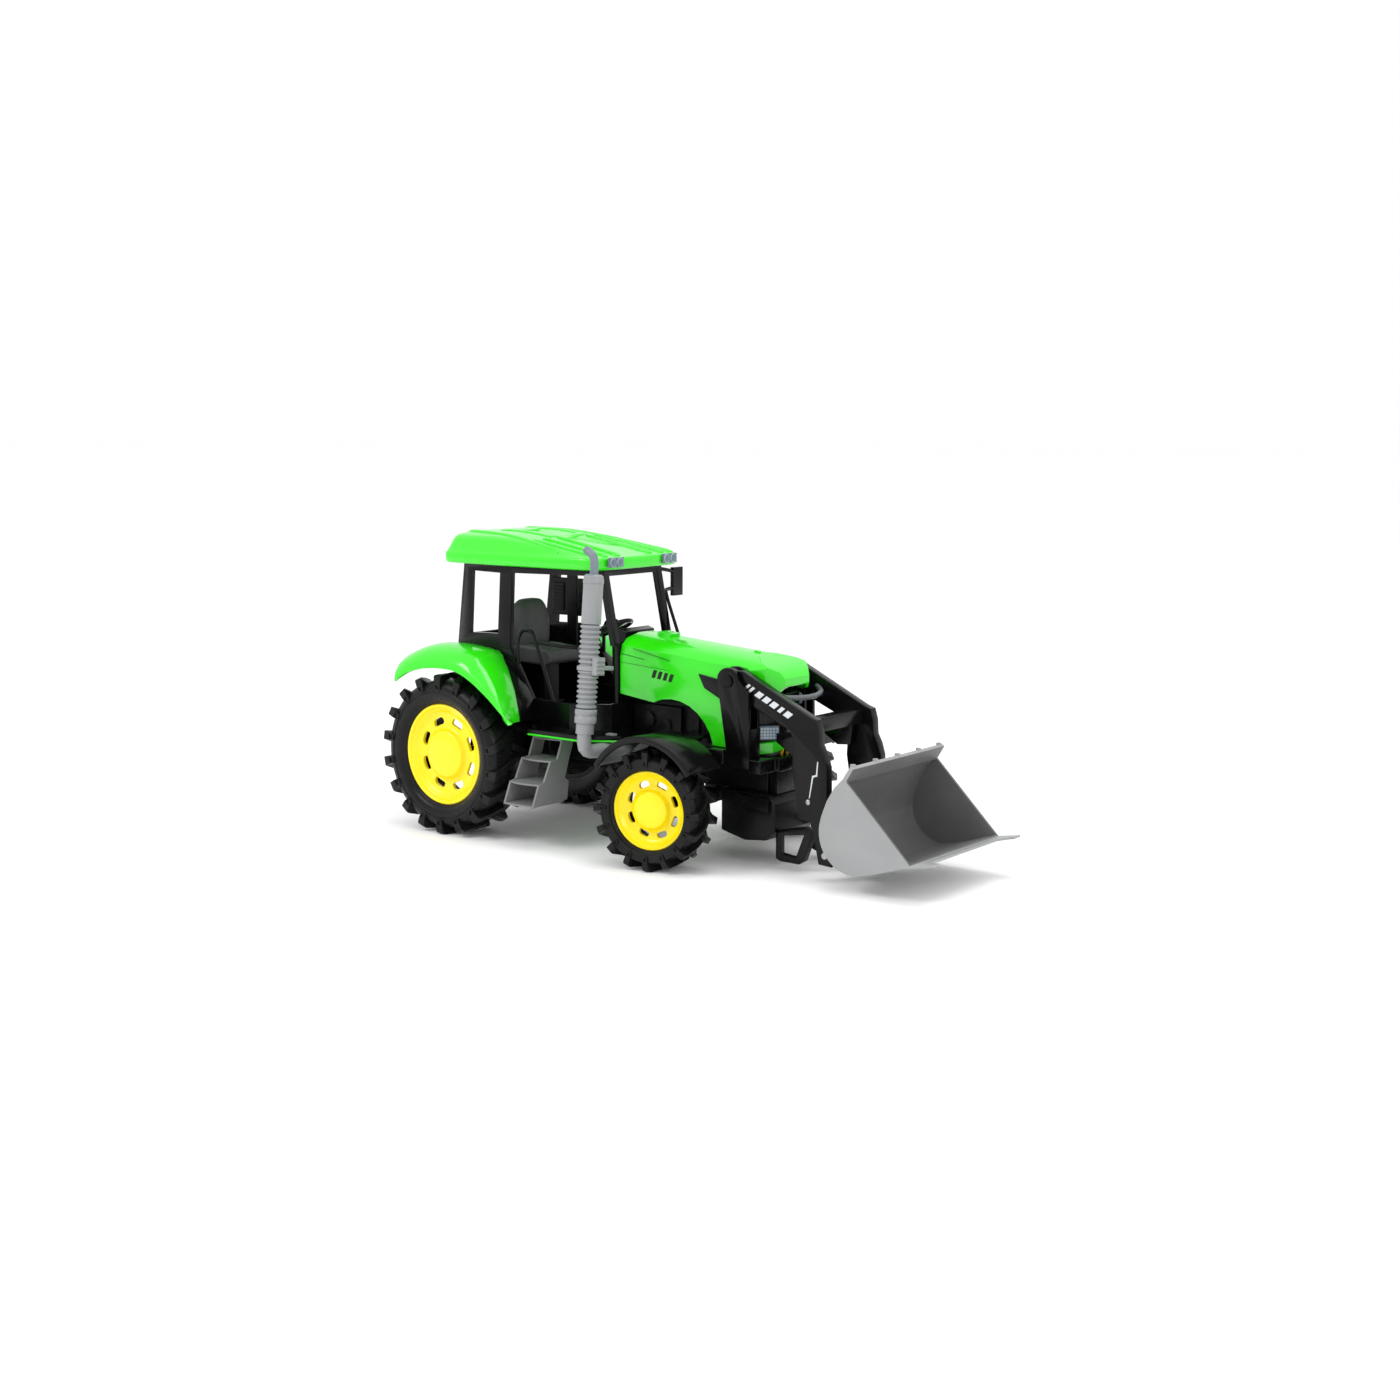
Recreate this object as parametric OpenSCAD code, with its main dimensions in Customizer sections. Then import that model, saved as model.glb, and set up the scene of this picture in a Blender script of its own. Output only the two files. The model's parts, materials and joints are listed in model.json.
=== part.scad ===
// Toy farm tractor with a front loader.
// +X is forward, +Y is the driver's left, +Z is up. The origin is on the floor,
// under the middle of the machine. Inside place(), x is measured from the rear axle.

/* [Machine] */
// Overall length, rear tyre to bucket lip
machine_length = 476; // [470:1:482]
// Distance between the rear axle and the kingpins
wheelbase = 198; // [196:1:200]
// Half the distance between the outer faces of the tyres
outer_y = 95; // [94:0.5:97]
// Wall of the moulded shells
wall = 2.5; // [2:0.1:3]

/* [Wheels] */
// Rear tyre outer radius
rear_tyre_r = 61.5; // [60:0.5:62]
// Rear tyre width
rear_tyre_w = 43; // [41:1:43]
// Rear rim radius
rear_rim_r = 38.7; // [37:0.1:40]
// Front tyre outer radius
front_tyre_r = 43; // [42:0.5:43.5]
// Front tyre width
front_tyre_w = 33; // [31:1:33]
// Front rim radius
front_rim_r = 28.4; // [27:0.1:29]
// Height of the tread lugs
lug_h = 4.5; // [3:0.5:5]
// Angle of the front wheels, to the left
steer_rest = 10.7; // [0:0.1:12]

/* [Cab] */
// Half width of the cab at the doors
cab_y = 52; // [50:0.5:52]
// Half width of the cab at the windscreen
cab_front_y = 34; // [33:0.5:36]
// Height of the underside of the roof
roof_z = 205; // [203:1:208]

/* [Loader] */
// Height of the arm pivots
arm_pivot_z = 133; // [131:1:134]
// Half width of the bucket
bucket_y = 60; // [58:1:62]
// Thickness of the bucket sheet
bucket_wall = 2; // [1.6:0.1:2.4]

/* [Hidden] */
$fn = 48;
rear_x = rear_tyre_r - machine_length / 2;
rear_z = rear_tyre_r;
front_z = front_tyre_r;
// Radial clearance of a turning fit, and of a press seat
run = 0.06;
seat_gap = 0.02;
axle_r = 3;
spindle_r = 2.4;
kingpin_r = 1.8;
kingpin_y = 70;
tie_arm = 14;
tie_pin_r = 1.5;
tie_z = 40.3;
tie_h = 3;
arm_pivot_x = 235;
arm_pin_r = 3;
arm_in = 31;
arm_out = 38;
bucket_pivot_x = 316;
bucket_pivot_z = 18;
bucket_pin_r = 2.5;
stack_x = 134.5;
stack_y = 79;
stack_lean = 5.5;

// ---------- helpers ----------

// Moves a shape drawn from the rear axle to the machine's own frame.
module place() translate([rear_x, 0, 0]) children();

// The same shape on the right (-Y) and, mirrored, on the left.
module both_sides() {
    children();
    mirror([0, 1, 0]) children();
}

// Side 1 is the right side as drawn, side -1 its mirror image on the left.
module on_side(side) {
    if (side > 0) children();
    else mirror([0, 1, 0]) children();
}

// Extrudes an (x, z) outline from y0 to y1.
module slab_xz(y0, y1) rotate([90, 0, 0]) translate([0, 0, -y1]) linear_extrude(y1 - y0) children();

// Extrudes a (y, z) outline from x0 to x1.
module slab_yz(x0, x1) translate([x0, 0, 0]) rotate([90, 0, 90]) linear_extrude(x1 - x0) children();

// A box from its lowest to its highest corner.
module box(low, high) translate(low) cube(high - low);

// A round bar along Y.
module bar_y(r, y0, y1, x, z) translate([x, y1, z]) rotate([90, 0, 0]) cylinder(r = r, h = y1 - y0);

// A round bar between two points.
module bar(a, b, r) {
    d = b - a;
    length = norm(d);
    translate(a) rotate([0, acos(d.z / length), atan2(d.y, d.x)]) cylinder(r = r, h = length);
}

// Corners of a path cut twice, which rounds its bends.
function cut_corners(p) = concat([p[0]],
    [for (i = [0 : len(p) - 2], t = [0.25,
        0.75]) if (!(i == 0 && t < 0.5) && !(i == len(p) - 2 && t > 0.5))
        p[i] * (1 - t) + p[i + 1] * t],
    [p[len(p) - 1]]);
function path_dir(p, i) =
    let (d = p[min(i + 1, len(p) - 1)] - p[max(i - 1, 0)]) d / norm(d);
// One ring of a tube: side is a direction that the path never follows.
function ring(p, i, r, side, sides) =
    let (t = path_dir(p, i), u = cross(t, side) / norm(cross(t, side)), v = cross(t, u))
    [for (k = [0 : sides - 1]) p[i] + r * (cos(360 * k / sides) * u + sin(360 * k / sides) * v)];

// A round tube swept along a path whose bends are rounded.
module tube_path(points, r, side, sides = 12) {
    p = cut_corners(cut_corners(points));
    n = len(p);
    rings = [for (i = [0 : n - 1]) each ring(p, i, r, side, sides)];
    walls = [for (i = [0 : n - 2], k = [0 : sides - 1])
        let (a = i * sides + k, b = i * sides + (k + 1) % sides) [a, a + sides, b + sides, b]];
    ends = [[for (k = [0 : sides - 1]) k], [for (k = [sides - 1 : -1 : 0]) (n - 1) * sides + k]];
    polyhedron(rings, concat(walls, ends));
}

// Unit normal, to the right of travel, of an open outline at point i.
function outline_dir(p, i) =
    let (a = p[max(i - 1, 0)], b = p[min(i + 1, len(p) - 1)]) (b - a) / norm(b - a);
function outline_inset(p, t) =
    [for (i = [0 : len(p) - 1]) let (d = outline_dir(p, i)) p[i] + t * [d.y, -d.x]];
// A strip of thickness t along an open outline.
module strip(p, t) {
    inner = outline_inset(p, t);
    polygon(concat(p, [for (i = [len(p) - 1 : -1 : 0]) inner[i]]));
}
function arc(cx, cz, r, a0, a1, n) =
    [for (i = [0 : n]) let (a = a0 + (a1 - a0) * i / n) [cx + r * cos(a), cz + r * sin(a)]];

// ---------- wheels ----------
// Drawn with the axle along Z, the inner face at z = 0 and the outer face at z = w.

module tyre_shape(r_out, r_in, w, count) {
    r_body = r_out - lug_h;
    rotate_extrude($fn = 96) polygon([
        [r_in, 4], [r_in + 5, 1], [r_body - 8, 0], [r_body - 2, 3], [r_body, 8],
        [r_body, w - 8], [r_body - 2, w - 3], [r_body - 8, w - 1.2], [r_in + 5, w - 3.2],
        [r_in, w - 6]]);
    intersection() {
        cylinder(r = r_out, h = w, $fn = 96);
        for (i = [0 : count - 1]) {
            rotate([0, 0, -90 + 360 * i / count]) lug(r_body, w, 1);
            rotate([0, 0, -90 + 360 * (i + 0.5) / count]) lug(r_body, w, -1);
        }
    }
}

// One slanted tread lug, from the shoulder to just past the middle of the tread.
module lug(r_body, w, hand) {
    lug_w = 0.1 * r_body;
    translate([r_body - 2, 0, w / 2]) rotate([hand * 28, 0, 0])
        translate([0, -lug_w / 2, hand > 0 ? -2 : -w / 2 - 3]) cube([lug_h + 4, lug_w, w / 2 + 5]);
}

module rim_shape(r, face, inner, hub_end, bore_r) {
    step = 0.15 * r;
    hub_r = 0.2 * r;
    disc_r = 0.45 * r;
    difference() {
        rotate_extrude($fn = 96) polygon([
            [0, face - 1.5], [disc_r, face - 1.5], [disc_r + 2.5, face - step],
            [r - 6, face - step], [r - 4.2, face], [r, face], [r, inner],
            [r - wall, inner], [r - wall, face - step - wall], [disc_r + 1, face - step - wall],
            [disc_r - 1.5, face - 4], [hub_r, face - 4], [hub_r, hub_end], [0, hub_end]]);
        translate([0, 0, hub_end - 1]) cylinder(r = bore_r, h = face - 4 - hub_end);
        for (i = [0 : 7]) rotate([0, 0, 22.5 + 45 * i]) translate([0.68 * r, 0, face - step - 5])
            linear_extrude(10) slot_shape(0.1 * r, 0.26 * r);
    }
}

// A slot with round ends, long side along Y.
module slot_shape(width, length) {
    square([width, length - width], center = true);
    for (s = [-1, 1]) translate([0, s * (length - width) / 2]) circle(d = width);
}

module at_rear_wheel() {
    place() translate([0, -outer_y + rear_tyre_w, rear_z]) rotate([90, 0, 0]) children();
}

module rear_tyre() color([0.07, 0.07, 0.08]) at_rear_wheel()
    tyre_shape(rear_tyre_r, rear_rim_r + seat_gap, rear_tyre_w, 18);
module rear_rim() color([0.95, 0.85, 0.05]) at_rear_wheel()
    rim_shape(rear_rim_r, rear_tyre_w - 5.8, 4, 2, axle_r + seat_gap);

// Turns the front wheel parts on one side to their steered rest position.
module steered(side) {
    translate([wheelbase, -side * kingpin_y, 0]) rotate([0, 0, steer_rest])
        translate([-wheelbase, side * kingpin_y, 0]) children();
}
module at_front_wheel(side) {
    place() steered(side) on_side(side) translate([wheelbase, -outer_y + front_tyre_w, front_z])
        rotate([90, 0, 0]) children();
}
module front_tyre(side) color([0.07, 0.07, 0.08]) at_front_wheel(side)
    tyre_shape(front_tyre_r, front_rim_r + seat_gap, front_tyre_w, 16);
module front_rim(side) color([0.95, 0.85, 0.05]) at_front_wheel(side)
    rim_shape(front_rim_r, front_tyre_w - 6.9, 3, 14.5, spindle_r + run);

module rear_axle() color([0.7, 0.7, 0.72]) place() bar_y(axle_r, -82, 82, 0, rear_z);

// ---------- steering ----------

module front_axle_beam() color([0.1, 0.1, 0.11]) place() difference() {
    union() {
        box([wheelbase - 5, -59, front_z - 5], [wheelbase + 5, 59, front_z + 5]);
        box([wheelbase - 5, -12, front_z + 4], [wheelbase + 5, 12, 51.9]);
        both_sides() {
            box([wheelbase - 5, -64.5, front_z - 9.3], [wheelbase + 5, -57, front_z + 9.3]);
            for (z = [front_z - 9.3, front_z + 6.3]) {
                box([wheelbase - 5, -kingpin_y, z], [wheelbase + 5, -60, z + 3]);
                translate([wheelbase, -kingpin_y, z]) cylinder(r = 5, h = 3);
            }
        }
    }
    both_sides() translate([wheelbase, -kingpin_y, front_z - 12]) cylinder(r = kingpin_r + seat_gap,
        h = 24);
}

module kingpins() color([0.7, 0.7, 0.72]) place() both_sides()
    translate([wheelbase, -kingpin_y, front_z - 9.3]) cylinder(r = kingpin_r, h = 18.6);

module knuckle(side) color([0.12, 0.12, 0.13]) place() steered(side) difference() {
    union() {
        translate([wheelbase, -side * kingpin_y, front_z - 6]) cylinder(r = 4.6, h = 12);
        on_side(side) bar_y(spindle_r, -kingpin_y - 12.5, -kingpin_y - 3, wheelbase, front_z);
        on_side(side) bar_y(4, -kingpin_y - 6, -kingpin_y - 3, wheelbase, front_z);
        translate([wheelbase - tie_arm, -side * kingpin_y - 2.5, front_z - 6]) cube([tie_arm, 5, 3]);
        translate([wheelbase - tie_arm, -side * kingpin_y, front_z - 6]) cylinder(r = 3, h = 3);
        translate([wheelbase - tie_arm, -side * kingpin_y, front_z - 4]) cylinder(r = tie_pin_r, h = 8);
    }
    translate([wheelbase, -side * kingpin_y, front_z - 8]) cylinder(r = kingpin_r + run, h = 16);
}

// The bar between the two steering arms. Its left hole is the open pivot.
module tie_rod() color([0.12, 0.12, 0.13]) place() {
    offset_x = wheelbase - tie_arm * cos(steer_rest);
    offset_y = -tie_arm * sin(steer_rest);
    translate([offset_x, offset_y, tie_z]) difference() {
        union() {
            box([-2.2, -kingpin_y, 0], [2.2, kingpin_y, tie_h]);
            for (s = [-1, 1]) translate([0, s * kingpin_y, 0]) cylinder(r = 3.4, h = tie_h);
        }
        translate([0, -kingpin_y, -1]) cylinder(r = tie_pin_r + run, h = tie_h + 2);
        translate([0, kingpin_y, -1]) cylinder(r = tie_pin_r + 0.35, h = tie_h + 2);
    }
}

// ---------- chassis ----------

module chassis_frame() color([0.1, 0.1, 0.11]) place() difference() {
    union() {
        box([-30, -18, 52], [254, 18, 76]);
        box([-16, -18, 46], [16, 18, 60]);
        box([60, -26, 58], [124, 26, 86]);
    }
    bar_y(axle_r + run, -30, 30, 0, rear_z);
    for (x = [24, 66, 108, 150, 204]) box([x, -15, 40], [x + 38, 15, 70]);
}

module rear_axle_housings() color([0.1, 0.1, 0.11]) place() both_sides() difference() {
    union() {
        bar_y(10, -50, -18.1, 0, rear_z);
        bar_y(13, -24, -18.1, 0, rear_z);
    }
    bar_y(axle_r + run, -52, -10, 0, rear_z);
}

module side_tanks() color([0.1, 0.1, 0.11]) place() both_sides() {
    box([14, -50, 50], [58, -27, 86]);
    box([58, -48, 56], [73, -27, 86]);
}

module tow_hitch() color([0.1, 0.1, 0.11]) place() difference() {
    union() {
        box([-34, -12, 54], [-30.02, 12, 74]);
        box([-48, -7, 54], [-33, 7, 58]);
        translate([-48, 0, 54]) cylinder(r = 7, h = 4);
    }
    translate([-48, 0, 50]) cylinder(r = 2.5, h = 12);
}

module engine_block() color([0.13, 0.13, 0.14]) place() {
    box([127.5, -15, 76.02], [232, 15, 112]);
    box([132, -19, 84], [176, 19, 106]);
    for (x = [186 : 9 : 222]) box([x, -17, 82], [x + 5, 17, 108]);
    both_sides() bar_y(6, -21, -14, 146, 95);
    both_sides() bar_y(4.5, -21, -14, 163, 92);
}

// ---------- cab ----------

side_panel = [[-22, 92], [-19, 140], [-11, roof_z], [39, roof_z], [36, 143], [59, 105.5], [59, 92]];
side_window = [[-6, 152], [-3, 200], [26.7, 199.5], [23.8, 153]];
// Half plan of the cab at the roof rail, and of its opening
rail_outer = [[-11, -cab_y], [39, -cab_y], [115, -cab_front_y], [115, 0], [-11, 0]];
rail_inner = [[-5.5, -cab_y + 4], [38, -cab_y + 4], [109.5, -cab_front_y + 4], [109.5, 1], [-5.5, 1]];

module cab_frame() color([0.08, 0.08, 0.09]) place() {
    both_sides() {
        slab_xz(-cab_y, -cab_y + 4) difference() {
            polygon(side_panel);
            polygon(side_window);
        }
        translate([0, 0, roof_z - 5]) linear_extrude(5) difference() {
            polygon(rail_outer);
            polygon(rail_inner);
        }
        windscreen_pillar();
    }
    box([122, -cab_front_y + 1, 148.5], [126.5, cab_front_y - 1, 151]);
    slab_xz(-cab_y + 1, cab_y - 1) polygon([[-22, 92], [-19, 140], [-17.8, 150], [-14.6, 150],
        [-18, 92]]);
}

// From the roof rail down to the windscreen sill.
module windscreen_pillar() {
    drop = roof_z - 148.5;
    run_x = 11.5;
    translate([109.6, -cab_front_y, roof_z - 1]) rotate([0, 180 - atan(run_x / drop), 0]) mirror([1,
        0, 0])
        cube([5, 5.5, norm([run_x, drop]) - 1]);
}

floor_outer = [[-16.8, -47.9], [59.1, -47.9], [59.1, -cab_y], [100, -cab_y - 4], [127, -40], [127, 0],
    [-16.8, 0]];
floor_inner = [[-13, -44], [63, -44], [63, -48.4], [98.5, -cab_y], [123, -38], [123, 1], [-13, 1]];
// Dark deck over the running boards
deck = [[73.1, -26.1], [73.1, -73.4], [123.8, -73.4], [149.4, -55.7], [149.4, -19.2], [127.6, -19.2],
    [127.6, -26.1]];
module cab_floor() color([0.08, 0.08, 0.09]) place() both_sides() {
    difference() {
        translate([0, 0, 86.1]) linear_extrude(19.9) polygon(floor_outer);
        translate([0, 0, 92]) linear_extrude(20) polygon(floor_inner);
    }
    translate([0, 0, 83.62]) linear_extrude(2.9) polygon(deck);
    box([123.5, -cab_front_y + 2, 105], [126.5, 1, 148.4]);
}

module seat_base() color([0.1, 0.1, 0.1]) place() {
    box([2, -13, 92.1], [34, 13, 96]);
    box([12, -9, 95], [32, 9, 126]);
}

module seat() color([0.3, 0.3, 0.3]) place() slab_xz(-19, 19) polygon(concat(
    [[7, 126.1], [43, 126.1]], arc(43, 133, 6, -60, 90, 5),
    [[20, 141], [18, 152]], arc(11, 170, 6.4, 0, 165, 7), [[-3, 150], [2, 128]]));

module dashboard() color([0.08, 0.08, 0.09]) place() {
    slab_xz(-17, 17) polygon([[110, 92.1], [122.9, 92.1], [122.9, 148.4], [121.9, 148.4],
        [121.9, 158], [116, 160], [106, 154], [108, 148]]);
}

module steering_column() color([0.08, 0.08, 0.09]) place() {
    bar([109.4, 0, 128], [97.2, 0, 153.2], 3);
}

module steering_wheel() color([0.08, 0.08, 0.09]) place() translate([95, 0, 157.8])
    rotate([0, -25.8, 0]) {
        rotate_extrude() translate([15, 0]) circle(r = 1.6, $fn = 24);
        difference() {
            translate([0, 0, -4]) cylinder(r = 4, h = 5.5);
            translate([0, 0, -6]) cylinder(r = 3 + run, h = 4);
        }
        for (a = [0, 120, 240]) rotate([0, 0, a]) translate([3, -1.4, -1.5]) cube([12, 2.8, 2]);
    }

// ---------- roof ----------

module roof() color([0.26, 0.95, 0.15]) place() hull() {
    translate([0, 0, roof_z + 0.02]) linear_extrude(1) polygon(
        [[-29, -50], [-25, -56], [100, -54], [117, -51], [121, -20], [121, 20], [117, 51], [100, 54],
        [-25, 56], [-29, 50]]);
    translate([0, 0, 213]) linear_extrude(1) polygon(
        [[-34, -48], [-29, -57], [60, -57], [113, -53], [121, -50], [124, -20], [124, 20], [121, 50],
        [113, 53], [60, 57], [-29, 57], [-34, 48]]);
    translate([0, 0, 221.5]) linear_extrude(1) polygon(
        [[-29, -44], [-24, -51], [22, -51], [22, 51], [-24, 51], [-29, 44]]);
    translate([0, 0, 230]) linear_extrude(1.3) polygon(
        [[-12, -32], [30, -36], [45, -20], [45, 20], [30, 36], [-12, 32]]);
}

module roof_lights() color([0.6, 0.62, 0.66]) place() both_sides()
    translate([124.02, -31.6, 210.8]) {
        box([0, -8.5, -3.6], [1.2, 8.5, 3.6]);
        for (y = [-4, 4]) translate([0, y, 0]) rotate([0, 90, 0]) cylinder(r = 2.9, h = 2);
    }

// ---------- body panels ----------

// Rear fender: its outer rim, and its inner edge along the cab, as matching points
fender_rim = [for (p = [[-48.1, 114.4], [-35.7, 121.7], [-18, 126.8], [4, 128.3], [20, 126.5],
    [34, 120.5], [43, 115],
    [52, 109], [59, 103.5], [65, 98.8], [70.5, 95.6], [77, 93.6]]) [p.x, -93, p.y]];
fender_inner = [[-48, -52.1, 133], [-36, -52.1, 138.5], [-17, -52.1, 143.2], [4.7, -52.1, 142.6],
    [25.8, -52.1, 139.6],
    [34, -56, 133.3], [40.4, -59, 128.3], [47.5, -63, 121.2], [54.6, -67, 113.5], [60.7, -71, 105],
        [65.4, -74, 97.5],
    [67.5, -75.5, 92.1]];
fender_rise = 4;

// Catmull-Rom curve through the points, with k steps in each span.
function spline(p, k) = concat([for (i = [0 : len(p) - 2], j = [0 : k - 1])
    let (t = j / k, a = p[max(i - 1, 0)], b = p[i], c = p[i + 1], d = p[min(i + 2, len(p) - 1)])
        (2 * b + (c - a) * t + (2 * a - 5 * b + 4 * c - d) * t * t + (3 * b - a - 3 * c + d) * t * t *
            t) / 2],
    [p[len(p) - 1]]);
// Point of the fender's skin: angle 0 is at the rim o, 90 at the inner edge q.
function skin_point(o, q, angle) = let (s = sin(angle)) [o.x + (q.x - o.x) * s,
    o.y + (q.y - o.y) * (1 - cos(angle)), o.z + (q.z - o.z) * s + fender_rise * sin(2 * angle) *
        min(1, (q.z - o.z) / 14)];
// A sheet of thickness t under a grid of points.
module sheet(grid, t) {
    rows = len(grid);
    cols = len(grid[0]);
    under = [for (i = [0 : rows - 1], j = [0 : cols - 1])
        let (n = cross(grid[min(i + 1, rows - 1)][j] - grid[max(i - 1, 0)][j],
            grid[i][min(j + 1, cols - 1)] - grid[i][max(j - 1, 0)])) grid[i][j] - t * n / norm(n)];
    low = rows * cols;
    quads = [for (i = [0 : rows - 2], j = [0 : cols - 2]) let (a = i * cols + j, b = a + cols) [a, b,
        b + 1, a + 1]];
    edge = concat([for (j = [0 : cols - 2]) j], [for (i = [0 : rows - 2]) i * cols + cols - 1],
        [for (j = [cols - 1 : -1 : 1]) (rows - 1) * cols + j], [for (i = [rows - 1 : -1 : 1]) i * cols]);
    polyhedron(concat([for (row = grid) each row], under), concat([for (q = quads) [q[3], q[2], q[1],
        q[0]]],
        [for (q = quads) [q[0] + low, q[1] + low, q[2] + low, q[3] + low]],
        [for (k = [0 : len(edge) - 1]) let (a = edge[k], b = edge[(k + 1) % len(edge)]) [b, a,
            a + low, b + low]]));
}

module rear_fender() color([0.26, 0.95, 0.15]) place() {
    rim = spline(fender_rim, 2);
    inner = spline(fender_inner, 2);
    sheet([for (i = [0 : len(rim) - 1]) [for (a = [0 : 15 : 90]) skin_point(rim[i], inner[i], a)]],
        wall);
}

// Dark arch between the fender's inner edge and the cab, over the front of the wheel
module arch_liners() color([0.08, 0.08, 0.09]) place() both_sides() {
    edge = [for (i = [5 : len(fender_inner) - 1]) fender_inner[i] + [0.4, 0.15, -0.3]];
    sheet([for (p = edge) [p, [p.x, -cab_y - 0.06 - 0.1 * max(0, p.x - 58), p.z]]], 1.5);
}

module running_boards() color([0.26, 0.95, 0.15]) place() both_sides() translate([0, 0, 82])
    linear_extrude(1.6) polygon([[73.1, -26.1], [73.1, -74], [124, -74], [150, -56], [150, -19.2],
        [127.6, -19.2],
        [127.6, -26.1]]);

module door_rails() color([0.08, 0.08, 0.09]) place() both_sides() {
    y = -cab_y + 1.7;
    tube_path([[43, y, 131], [43, y, 156], [57, y, 158], [61.5, y, 150], [76.5, y, 110.2],
        [79.5, y, 104]],
        1.5, [0, 1, 0]);
    tube_path([[63.5, y, 149], [80, y, 147.5], [97, -42, 146.5]], 1.3, [0, 0, 1]);
}

module mirror_arm() color([0.08, 0.08, 0.09]) place() {
    tube_path([[112.5, cab_front_y + 0.3, 202], [112.5, 44, 200.5], [112.5, 51, 199]], 1.5, [1, 0, 0]);
    tube_path([[117, cab_front_y + 0.3, 184], [113, 42, 185.5], [112.5, 51, 186]], 1.5, [0, 0, 1]);
    tube_path([[116.5, 37.5, 185], [120, 36.6, 176], [131.5, cab_front_y + 0.5, 152.2]], 1.3, [0, 1, 0]);
    box([110.8, 50.5, 180], [114, 62, 202]);
}

hood_side = concat([[127.2, 113.5], [158.7, 109.7]], arc(175.6, 74, 39.5, 116, 15, 8), [[212.3, 83.6],
    [226, 83.2],
    [226, 123], [256, 123], [263, 125], [266, 129], [266, 134], [263, 139], [256, 143], [244, 147.5],
        [232, 151], [127.2, 160]]);
// Cut in the hood for the loader bracket
bracket_notch = concat([[224, 119], [255.2, 119], [254.2, 127]],
    arc(arm_pivot_x, arm_pivot_z, 11, 20, 175, 8));
// Cross-section of the hood, as height below its ridge
hood_section = [[-30, -120], [-30, -16], [-28, -8], [-22, -3], [-8, 0], [8, 0], [22, -3], [28, -8],
    [30, -16], [30, -120]];
hood_slope = 4.5;

module hood_solid(inset) {
    intersection() {
        slab_xz(-31, 31) polygon(hood_side);
        translate([127.2, 0, 157.5 - inset]) rotate([0, hood_slope, 0]) slab_yz(-20, 160)
            polygon([for (p = hood_section) [p.x * (1 - inset / 30), p.y]]);
        translate([0, 0, 60]) linear_extrude(110) polygon([[100, -31], [236, -31 + inset],
            [256 - inset, -25 + inset],
            [267 - inset, -14], [270 - inset, 0], [267 - inset, 14], [256 - inset, 25 - inset],
                [236, 31 - inset],
            [100, 31]]);
    }
}

module hood() color([0.26, 0.95, 0.15]) place() {
    difference() {
        hood_solid(0);
        difference() {
            hood_solid(wall);
            box([268 - wall, -40, 60], [280, 40, 170]);
        }
        box([120, -30 + wall, 60], [226, 30 - wall, 140]);
        box([225.9, -40, 60], [256, 40, 122]);
        both_sides() slab_xz(-40, -27) polygon(bracket_notch);
    }
    slab_xz(-6, 6) polygon([[142, 152], [153, 151.5], [156, 157.6], [144, 159]]);
}

module hood_inserts() color([0.05, 0.05, 0.06]) place() both_sides() slab_xz(-31.3, -30.1)
    polygon([[201, 134.5], [225.8, 131], [225.8, 115.5], [206.4, 124.5]]);

grille_plan = [[234, -22], [248, -22], [259, -12], [261, 0], [259, 12], [248, 22], [234, 22]];
module front_grille() color([0.05, 0.05, 0.06]) place()
    translate([0, 0, 88]) linear_extrude(34.8) polygon(grille_plan);

module nose_lights() color([0.62, 0.63, 0.66]) place() both_sides()
    translate([253.9, -17.4, 117]) rotate([0, 0, -47.7]) box([0, -6.5, -4], [2, 6.5, 4]);

module headlights() color([0.5, 0.5, 0.52]) place() both_sides()
    translate([253.9, -17.4, 95.4]) rotate([0, 0, -47.7]) box([0, -7, -5], [3.4, 7, 5]);

module bumper_strip() color([0.26, 0.95, 0.15]) place() difference() {
    both_sides() slab_strip();
    translate([0, 0, 87.98]) linear_extrude(10) polygon(grille_plan);
}
// One half of the strip, rising from the side to the middle.
module slab_strip() hull() {
    translate([238, -27.9, 79.3]) cube([8, 2, 7.5]);
    translate([254, -18, 81]) cube([4, 2, 7.5]);
    translate([261.2, -1, 85]) cube([3.4, 1, 7.5]);
    translate([240, -1, 85]) cube([3, 1, 2]);
    translate([238, -20, 80.5]) cube([3, 1, 2]);
}

module front_fender() color([0.09, 0.09, 0.1]) place() {
    slab_xz(-92, -56) strip(arc(wheelbase, front_z, 53, 148, 36, 16), wall);
    slab_xz(-92, -90) strip(arc(wheelbase, front_z, 53, 148, 36, 16), 5);
    box([188, -58, 88], [208, -20.2, 91]);
}

// ---------- exhaust ----------

module stack() translate([stack_x, -stack_y, 90]) rotate([-stack_lean, 0, 0]) children();

module exhaust_elbow() color([0.62, 0.62, 0.63]) place() {
    stack() cylinder(r = 6.6, h = 18);
    tube_path([[stack_x, -stack_y - 0.3, 93], [stack_x, -stack_y - 1, 76.6],
        [stack_x + 4, -stack_y + 14, 76.6],
        [stack_x + 8, -21.2, 76.6]], 5.2, [1, 0, 0], 24);
}

module exhaust_bellows() color([0.62, 0.62, 0.63]) place() stack() translate([0, 0,
    18.02]) rotate_extrude() {
    pitch = 3.6;
    count = 17;
    polygon(concat([[0, 0]], [for (i = [0 : count - 1], p = [[6, 0.2], [7.5, 1.2], [7.5, 2.4], [6, 3.4]])
        [p.x, p.y + i * pitch]], [[0, count * pitch]]));
}

module exhaust_muffler() color([0.62, 0.62, 0.63]) place() stack() translate([0, 0, 79.3]) {
    cylinder(r = 7.2, h = 34.5);
    translate([0, 0, 34.5]) cylinder(r1 = 7.2, r2 = 5.6, h = 1.5);
    tube_path([[0, 0, 35], [0, 0, 45], [-2, 0, 50], [-9, 0, 53.5]], 3.1, [0, 1, 0], 20);
}

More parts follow.
